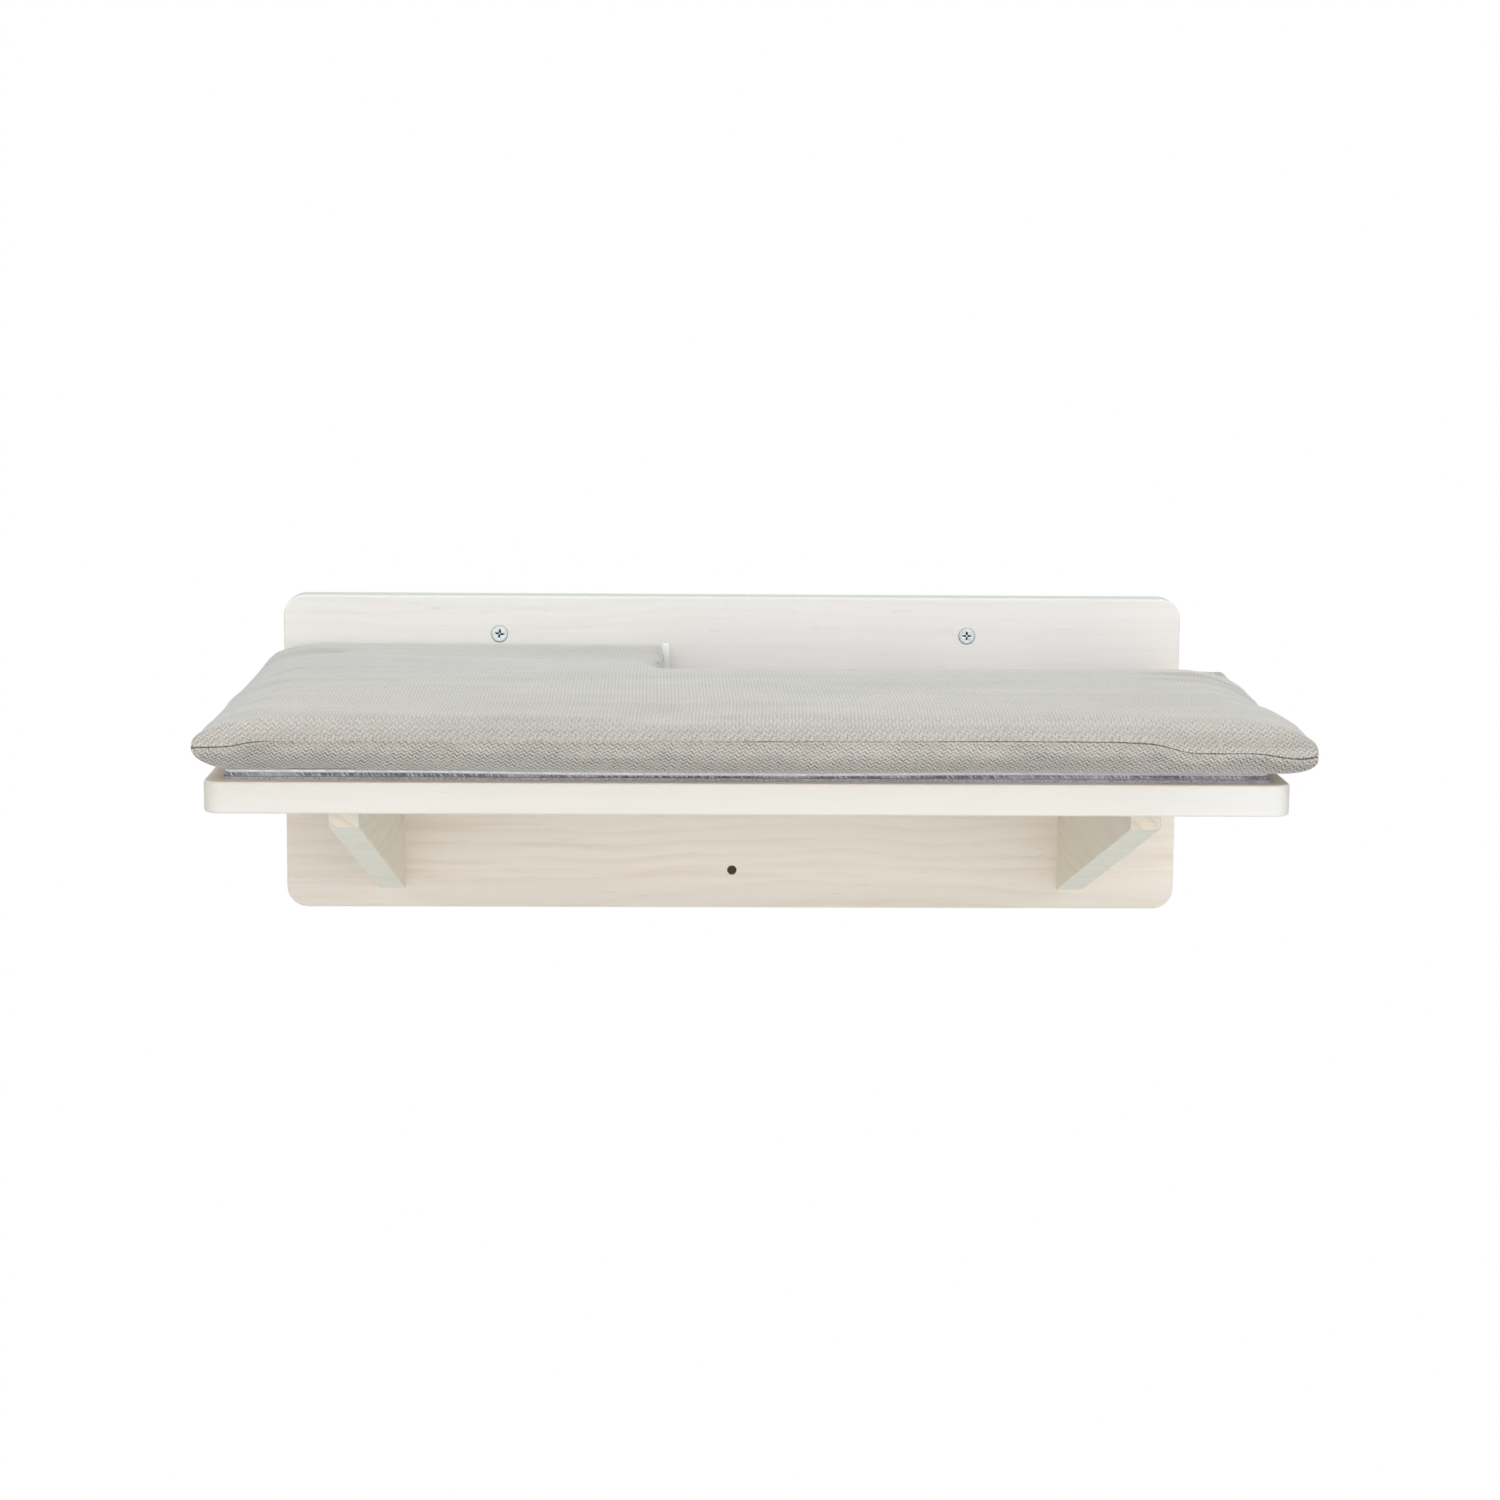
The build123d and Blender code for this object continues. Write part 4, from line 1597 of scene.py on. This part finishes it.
    def flat_map(self, points: np.ndarray, top: dict, under: dict) -> np.ndarray:
        """Unroll each sheet of cloth along its threads.

        Args:
            points: The points in millimetres.
            top: The top sheet's points by grid place.
            under: The lower sheet's points by grid place.

        Returns:
            For the top and then the lower sheet, each point's place on the flat cloth, in metres.
        """
        maps = np.zeros((2, len(points), 2))
        for layer, sheet in enumerate((top, under)):
            for (i, j), number in sheet.items():
                starts = (points[number][0], self.cut_start)
                for axis, neighbour in enumerate(((i - 1, j), (i, j - 1))):
                    before = sheet.get(neighbour)
                    if before is None:
                        maps[layer, number, axis] = starts[axis] * MM
                    else:
                        gap = np.linalg.norm(points[number] - points[before]) * MM
                        maps[layer, number, axis] = maps[layer, before, axis] + gap
        maps[1] += self.lower_cloth
        return maps

    def swell(self, mesh: Mesh, seam: list[int]) -> np.ndarray:
        """Blow the cloth up a little against its seam, as its filling does.

        Args:
            mesh: The cushion's mesh.
            seam: The seam's points.

        Returns:
            The points after the simulation, in metres.
        """
        rest = np.array([vertex.co for vertex in mesh.vertices])
        piece = bpy.data.objects.new("cushion_swelling", mesh.copy())
        bpy.context.scene.collection.objects.link(piece)
        pinned = piece.vertex_groups.new(name="held")
        lying = (self.underside + self.pinned_rise) * MM
        low = [number for number, point in enumerate(rest) if point[2] < lying]
        pinned.add(sorted(set(seam) | set(low)), 1.0, "REPLACE")
        cloth = piece.modifiers.new("swelling", "CLOTH")
        settings = cloth.settings
        for name, value in self.cloth_settings:
            setattr(settings, name, value)
        settings.use_pressure = True
        settings.uniform_pressure_force = self.pressure
        settings.effector_weights.gravity = 0
        settings.vertex_group_mass = "held"
        cloth.collision_settings.use_collision = False
        scene = bpy.context.scene
        for number in range(1, self.sim_frames + 1):
            scene.frame_set(number)
        graph = bpy.context.evaluated_depsgraph_get()
        moved = np.array([vertex.co for vertex in piece.evaluated_get(graph).data.vertices])
        bpy.data.objects.remove(piece)
        scene.frame_set(1)
        shift = moved - rest
        size = np.linalg.norm(shift, axis=1, keepdims=True)
        limit = self.swell_limit * MM
        reach = np.minimum(rest[:, 0] / MM - self.left, self.right - rest[:, 0] / MM)
        free = self.end_swell + (1 - self.end_swell) * np.clip(reach / self.end_reach, 0, 1)[:, None]
        return rest + shift * free * (limit * np.tanh(size / limit) / np.maximum(size, 1e-9))

    def work_in(self, x: float, y: float, z: float, upper: bool) -> float:
        """Small creases, puckers and bumps of the cloth, as a rise in millimetres.

        Args:
            x: The place across.
            y: The place from the wall.
            z: The height.
            upper: Whether the point is on the top sheet.

        Returns:
            How far the cloth stands out there.
        """
        rise = 0.35 * noise.noise(Vector((x / 44, y / 36, z / 40)))
        rise += 0.12 * noise.noise(Vector((x / 13, y / 13, z / 13)))
        if not upper:
            return rise if z > self.underside + 2 else 0.0
        frill = over(self.frill_starts, x) * (1 - over(self.frill_ends, x)) * ridge(y, *self.frill_line)
        rise += 1.1 * frill * (0.4 + math.sin(x / 1.45 + 1.2 * math.sin(x / 5)))
        pucker = over(self.pucker_starts, x) * ridge(y, *self.pucker_line)
        rise += 0.9 * pucker * max(0.0, noise.noise(Vector((x / 9, 2.2, 0.7))))
        fade = over(self.fold_starts, x) * (1 - 0.5 * over(self.fold_fades, x))
        for middle, depth, width in self.folds:
            line = middle - self.fold_slant * (x - self.fold_middle)
            rise += depth * fade * (0.6 * ridge(y, line + 9, 6.5) - ridge(y, line, width))
        return rise

    def seam_shows(self, x: float, y: float) -> float:
        """How much of the seam shows, from 0 where the cloth closes over it to 1."""
        if y > self.front + self.side_seam_from:
            return self.side_seam
        return max(1 - over(self.seam_left, x), sum(0.5 * over(span, x) for span in self.seam_right))

    def groove(self, x: float, y: float) -> float:
        """How deep the seam is pulled in, in millimetres."""
        least, added = self.groove_depth
        return least + added * self.seam_shows(x, y)

    def finish_form(self, piece: Piece, seam: list[int], uppers: set[int]) -> None:
        """Work the creases and the seam's groove into the cloth.

        Args:
            piece: The cushion.
            seam: The seam's points.
            uppers: The top sheet's points.
        """
        mesh = piece.data
        normals = [vertex.normal.copy() for vertex in mesh.vertices]
        seam_set = set(seam)
        # how much of the seam's painted shade and thread shows
        shows = mesh.attributes.new("seam", "FLOAT", "POINT").data
        inward: dict[int, Vector] = {}
        for vertex in mesh.vertices:
            x, y, z = (part / MM for part in vertex.co)
            if vertex.index in seam_set:
                out = Vector((normals[vertex.index].x, normals[vertex.index].y, 0)).normalized()
                share = self.seam_shows(x, y)
                shows[vertex.index].value = share
                vertex.co -= out * self.groove(x, y) * MM
                sunk = self.thread_out - self.thread_hidden * (1 - share)
                inward[vertex.index] = vertex.co + out * sunk * MM
                continue
            rise = self.work_in(x, y, z, vertex.index in uppers)
            vertex.co += normals[vertex.index] * rise * MM
            vertex.co.z = max(vertex.co.z, (self.underside - 0.05) * MM)
        self.stitch_line = [inward[number] for number in seam]

    def build(self) -> Piece:
        """Sew, fill and crease the cushion, and ride it on its own body.

        Returns:
            The cushion.
        """
        points, faces, seam, maps = self.grid()
        mesh = mesh_from(points * MM, faces)
        mesh.vertices.foreach_set("co", self.swell(mesh, seam).ravel())
        mesh.update()
        layer = mesh.uv_layers.new(name="cloth")
        uppers: set[int] = set()
        for number, polygon in enumerate(mesh.polygons):
            sheet = number % 2
            for loop in polygon.loop_indices:
                corner = mesh.loops[loop].vertex_index
                layer.data[loop].uv = maps[sheet, corner]
                if sheet == 0:
                    uppers.add(corner)
        piece = new_piece("cushion_cloth", mesh, WovenCloth().make())
        self.finish_form(piece, seam, uppers)
        crease = mesh.attributes.new("crease_edge", "FLOAT", "EDGE")
        pairs = {frozenset(pair) for pair in zip(seam, seam[1:] + seam[:1])}
        crease.data.foreach_set(
            "value",
            [self.seam_sharpness if frozenset(edge.vertices) in pairs else 0.0 for edge in mesh.edges],
        )
        rounding = piece.modifiers.new("rounding", "SUBSURF")
        rounding.levels = rounding.render_levels = 1
        bpy.context.view_layer.update()
        graph = bpy.context.evaluated_depsgraph_get()
        smooth = bpy.data.meshes.new_from_object(piece.evaluated_get(graph))
        piece.modifiers.clear()
        piece.data = smooth
        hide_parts("cushion_cover_top", "cushion_cover_bottom", "cushion_filling")
        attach(piece, CUSHION)
        return piece


@dataclass
class SeamStitches:
    """The stitches that show in the cushion's seam."""

    spacing: float = 3.0 * MM
    length: float = 1.7 * MM
    radius: float = 0.2 * MM

    def build(self, line: list[Vector]) -> Piece:
        """Grow the stitches along the seam.

        Args:
            line: The seam's points in order.

        Returns:
            The piece.
        """
        thread = SewingThread().make()
        growth = Growth("seam_stitches")
        spacing = growth.size("Stitch spacing", "Float", self.spacing)
        length = growth.size("Stitch length", "Float", self.length)
        radius = growth.size("Thread radius", "Float", self.radius)
        path = growth.node("GeometryNodeMeshToCurve", {0: growth.start.outputs["Geometry"]})
        dots = growth.node(
            "GeometryNodeCurveToPoints", {"Curve": path.outputs[0], "Length": spacing}, mode="LENGTH"
        )
        bar = growth.node("GeometryNodeMeshUVSphere", {"Segments": 6, "Rings": 5, "Radius": 1.0})
        stitches = growth.instances(
            dots.outputs["Points"], bar.outputs[0], Rotation=dots.outputs["Rotation"],
            Scale=growth.vector(radius, radius, growth.times(length, 0.5)),
        )
        growth.close(stitches, thread)
        mesh = bpy.data.meshes.new("seam")
        count = len(line)
        mesh.from_pydata([tuple(point) for point in line], [(n, (n + 1) % count) for n in range(count)], [])
        grown = growth.grow(new_piece("seam_seed", mesh, thread))
        grown.shade_smooth()
        piece = new_piece("cushion_seam_stitches", grown, thread)
        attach(piece, CUSHION)
        return piece


@dataclass
class SideTape:
    """The narrow white tape that stands out of the step in the cushion's back edge."""

    left: float = -40.2 * MM
    width: float = 3.6 * MM
    place: float = -22.0 * MM
    low: float = 46.9 * MM
    high: float = 63.9 * MM
    thickness: float = 0.35 * MM
    overlap: float = 0.4 * MM
    curl: float = 0.25 * MM
    fray: float = 0.16 * MM
    end_wave: float = 0.15 * MM
    rows: int = 30
    columns: int = 8

    def build(self) -> Piece:
        """Build the tape and its frayed free edge.

        Returns:
            The piece.
        """
        points, faces = [], []
        for layer in (-1, 1):
            for row in range(self.rows + 1):
                way = row / self.rows
                for column in range(self.columns + 1):
                    share = column / self.columns
                    curl = self.curl * math.sin(way * 5 + share * 2) * share
                    fray = self.fray * noise.noise(Vector((way * 25, 1.5, 0))) * (share == 1)
                    wave = self.end_wave * math.sin(share * 6) * (row == self.rows)
                    points.append((
                        self.left - self.overlap + (self.width + self.overlap) * share + fray,
                        self.place + layer * self.thickness / 2 + curl,
                        self.low + (self.high - self.low) * way + wave,
                    ))
        wide = self.columns + 1
        layer_size = wide * (self.rows + 1)
        for row in range(self.rows):
            for column in range(self.columns):
                start = row * wide + column
                cell = (start, start + 1, start + wide + 1, start + wide)
                faces.append(cell)
                faces.append(tuple(layer_size + corner for corner in reversed(cell)))
        rim = list(range(self.columns))
        rim += [row * wide + self.columns for row in range(self.rows)]
        rim += [self.rows * wide + column for column in range(self.columns, 0, -1)]
        rim += [row * wide for row in range(self.rows, 0, -1)]
        for here, after in zip(rim, rim[1:] + rim[:1]):
            faces.append((after, here, layer_size + here, layer_size + after))
        twill = CottonTape().make()
        piece = new_piece("cushion_tape", mesh_from(np.array(points), faces), twill)
        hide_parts("cushion_side_tape")
        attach(piece, CUSHION)
        return piece


@dataclass
class Studio:
    """The camera, soft lamps, pale floor and white surroundings, and the shade in the empty hole."""

    camera_place: tuple[float, float, float] = (-0.043339, -1.87656, 0.282957)
    pitch: float = -0.149769
    roll: float = -0.008223
    yaw: float = -0.028581
    lens: float = 78.99
    sensor: float = 36.0
    sight: float = 60.0
    floor_height: float = -1.25
    floor_rings: tuple[float, ...] = (0.5, 1.0, 1.5, 2.0, 3.0, 6.0)
    floor_sides: int = 48
    floor_colour: Colour = (240, 240, 239)
    shadow_reach: Span = (1.1, 1.8)
    ambient: float = 0.49
    hole: tuple[float, float, float] = (0.0, -0.0125, -0.068)
    hole_radius: float = 0.00272
    hole_sides: int = 24
    hole_colour: Colour = (92, 80, 62)
    aim: tuple[float, float, float] = (0.0, -0.12, 0.0)
    lamps: tuple[tuple, ...] = (
        ("left_softbox", (-0.9, -2.6, 1.1), (2.2, 1.6), 11.4),
        ("right_softbox", (1.9, -2.2, 0.8), (1.6, 1.6), 11.0),
        ("front_softbox", (0.0, -3.0, 0.3), (2.6, 0.9), 17.5),
        ("high_softbox", (0.0, -2.4, 1.7), (2.6, 1.2), 6.0),
        ("overhead_softbox", (0.0, -0.7, 2.2), (2.4, 1.6), 32.0),
    )

    def camera(self) -> Piece:
        """Set the camera at the photograph's angle.

        Returns:
            The camera.
        """
        data = bpy.data.cameras.new("camera")
        data.lens = self.lens
        data.sensor_width = self.sensor
        data.clip_end = self.sight
        camera = bpy.data.objects.new("camera", data)
        bpy.context.scene.collection.objects.link(camera)
        turn = (
            Matrix.Rotation(self.yaw, 4, "Z")
            @ Matrix.Rotation(self.pitch, 4, "X")
            @ Matrix.Rotation(self.roll, 4, "Y")
            @ Matrix.Rotation(math.pi / 2, 4, "X")
        )
        camera.matrix_world = Matrix.Translation(self.camera_place) @ turn
        bpy.context.scene.camera = camera
        return camera

    def light(self) -> None:
        """Hang the softboxes, each aimed at the platform."""
        for name, place, size, power in self.lamps:
            data = bpy.data.lights.new(name, "AREA")
            data.shape = "RECTANGLE"
            data.size, data.size_y = size
            data.energy = power
            lamp = bpy.data.objects.new(name, data)
            aim = Vector(self.aim) - Vector(place)
            lamp.rotation_euler = aim.to_track_quat("-Z", "Y").to_euler()
            lamp.location = place
            bpy.context.scene.collection.objects.link(lamp)

    def surroundings(self) -> None:
        """Fill the world with an even light that looks white itself."""
        world = bpy.data.worlds.new("surroundings")
        world.use_nodes = True
        wiring = Wiring()
        wiring.tree = world.node_tree
        back = world.node_tree.nodes["Background"]
        back.inputs["Color"].default_value = WHITE
        strength = wiring.math("MULTIPLY_ADD", wiring.looked_at(), 1 - self.ambient, self.ambient)
        wiring.feed(back.inputs["Strength"], strength)
        bpy.context.scene.world = world

    def floor(self) -> Piece:
        """Lay a pale floor that keeps the object's shadow and fades to white away from it.

        Returns:
            The floor.
        """
        sides = self.floor_sides
        turns = [FULL_TURN * side / sides for side in range(sides)]
        points = [(0.0, 0.0, self.floor_height)]
        for radius in self.floor_rings:
            for turn in turns:
                points.append((radius * math.cos(turn), radius * math.sin(turn), self.floor_height))
        nodes = Finish("pale_floor")
        x, y, _ = nodes.parts(nodes.place())
        white = nodes.span(nodes.distance(x, y), *self.shadow_reach)
        glow = nodes.node("ShaderNodeEmission", {"Color": WHITE, "Strength": 1.0})
        grain = nodes.noise(nodes.place(), 60.0, 3.0)
        material = nodes.surface(nodes.tone(self.floor_colour, grain, 0.01), 0.9)
        mixed = nodes.node(
            "ShaderNodeMixShader",
            {0: nodes.times(white, nodes.looked_at()), 1: nodes.shader.outputs[0], 2: glow.outputs[0]},
        )
        nodes.feed(nodes.tree.nodes["Material Output"].inputs[0], mixed.outputs[0])
        faces = turned_faces(sides, len(self.floor_rings), False)
        floor = new_piece("floor", mesh_from(np.array(points), faces), material)
        return floor

    def hole_shade(self) -> Piece:
        """Close the far end of the empty hole with the wall's shade.

        Returns:
            The small dark disc, which isn't part of the object.
        """
        sides = self.hole_sides
        x, y, z = self.hole
        ring = [
            (x + self.hole_radius * math.cos(turn), y, z + self.hole_radius * math.sin(turn))
            for turn in (FULL_TURN * side / sides for side in range(sides))
        ]
        nodes = Finish("wall_in_shade")
        shade = nodes.tone(self.hole_colour, nodes.noise(nodes.place(), 900.0), 0.1)
        material = nodes.surface(shade, 1.0, Specular_IOR_Level=0.0)
        disc = new_piece("hole_shade", mesh_from(np.array(ring), [tuple(range(sides))]), material)
        return disc

    def build(self) -> None:
        """Set up the whole studio."""
        self.camera()
        self.light()
        self.surroundings()
        self.floor()
        self.hole_shade()
        bpy.context.scene.view_settings.view_transform = "Standard"


def main() -> None:
    """Build the studio and every sub-assembly in order."""
    logging.basicConfig(level=logging.INFO, format="%(name)s: %(message)s")
    Studio().build()
    for node in Boards().dress() + Dowels().dress():
        log.info("dressed %s", node)
    for piece in Fasteners().build():
        log.info("built %s, %d faces", piece.name, len(piece.data.polygons))
    cushion = Cushion()
    stitches = SeamStitches()
    for piece in (Mat().build(), cushion.build(), stitches.build(cushion.stitch_line), SideTape().build()):
        log.info("built %s, %d faces", piece.name, len(piece.data.polygons))


if __name__ == "__main__":
    main()
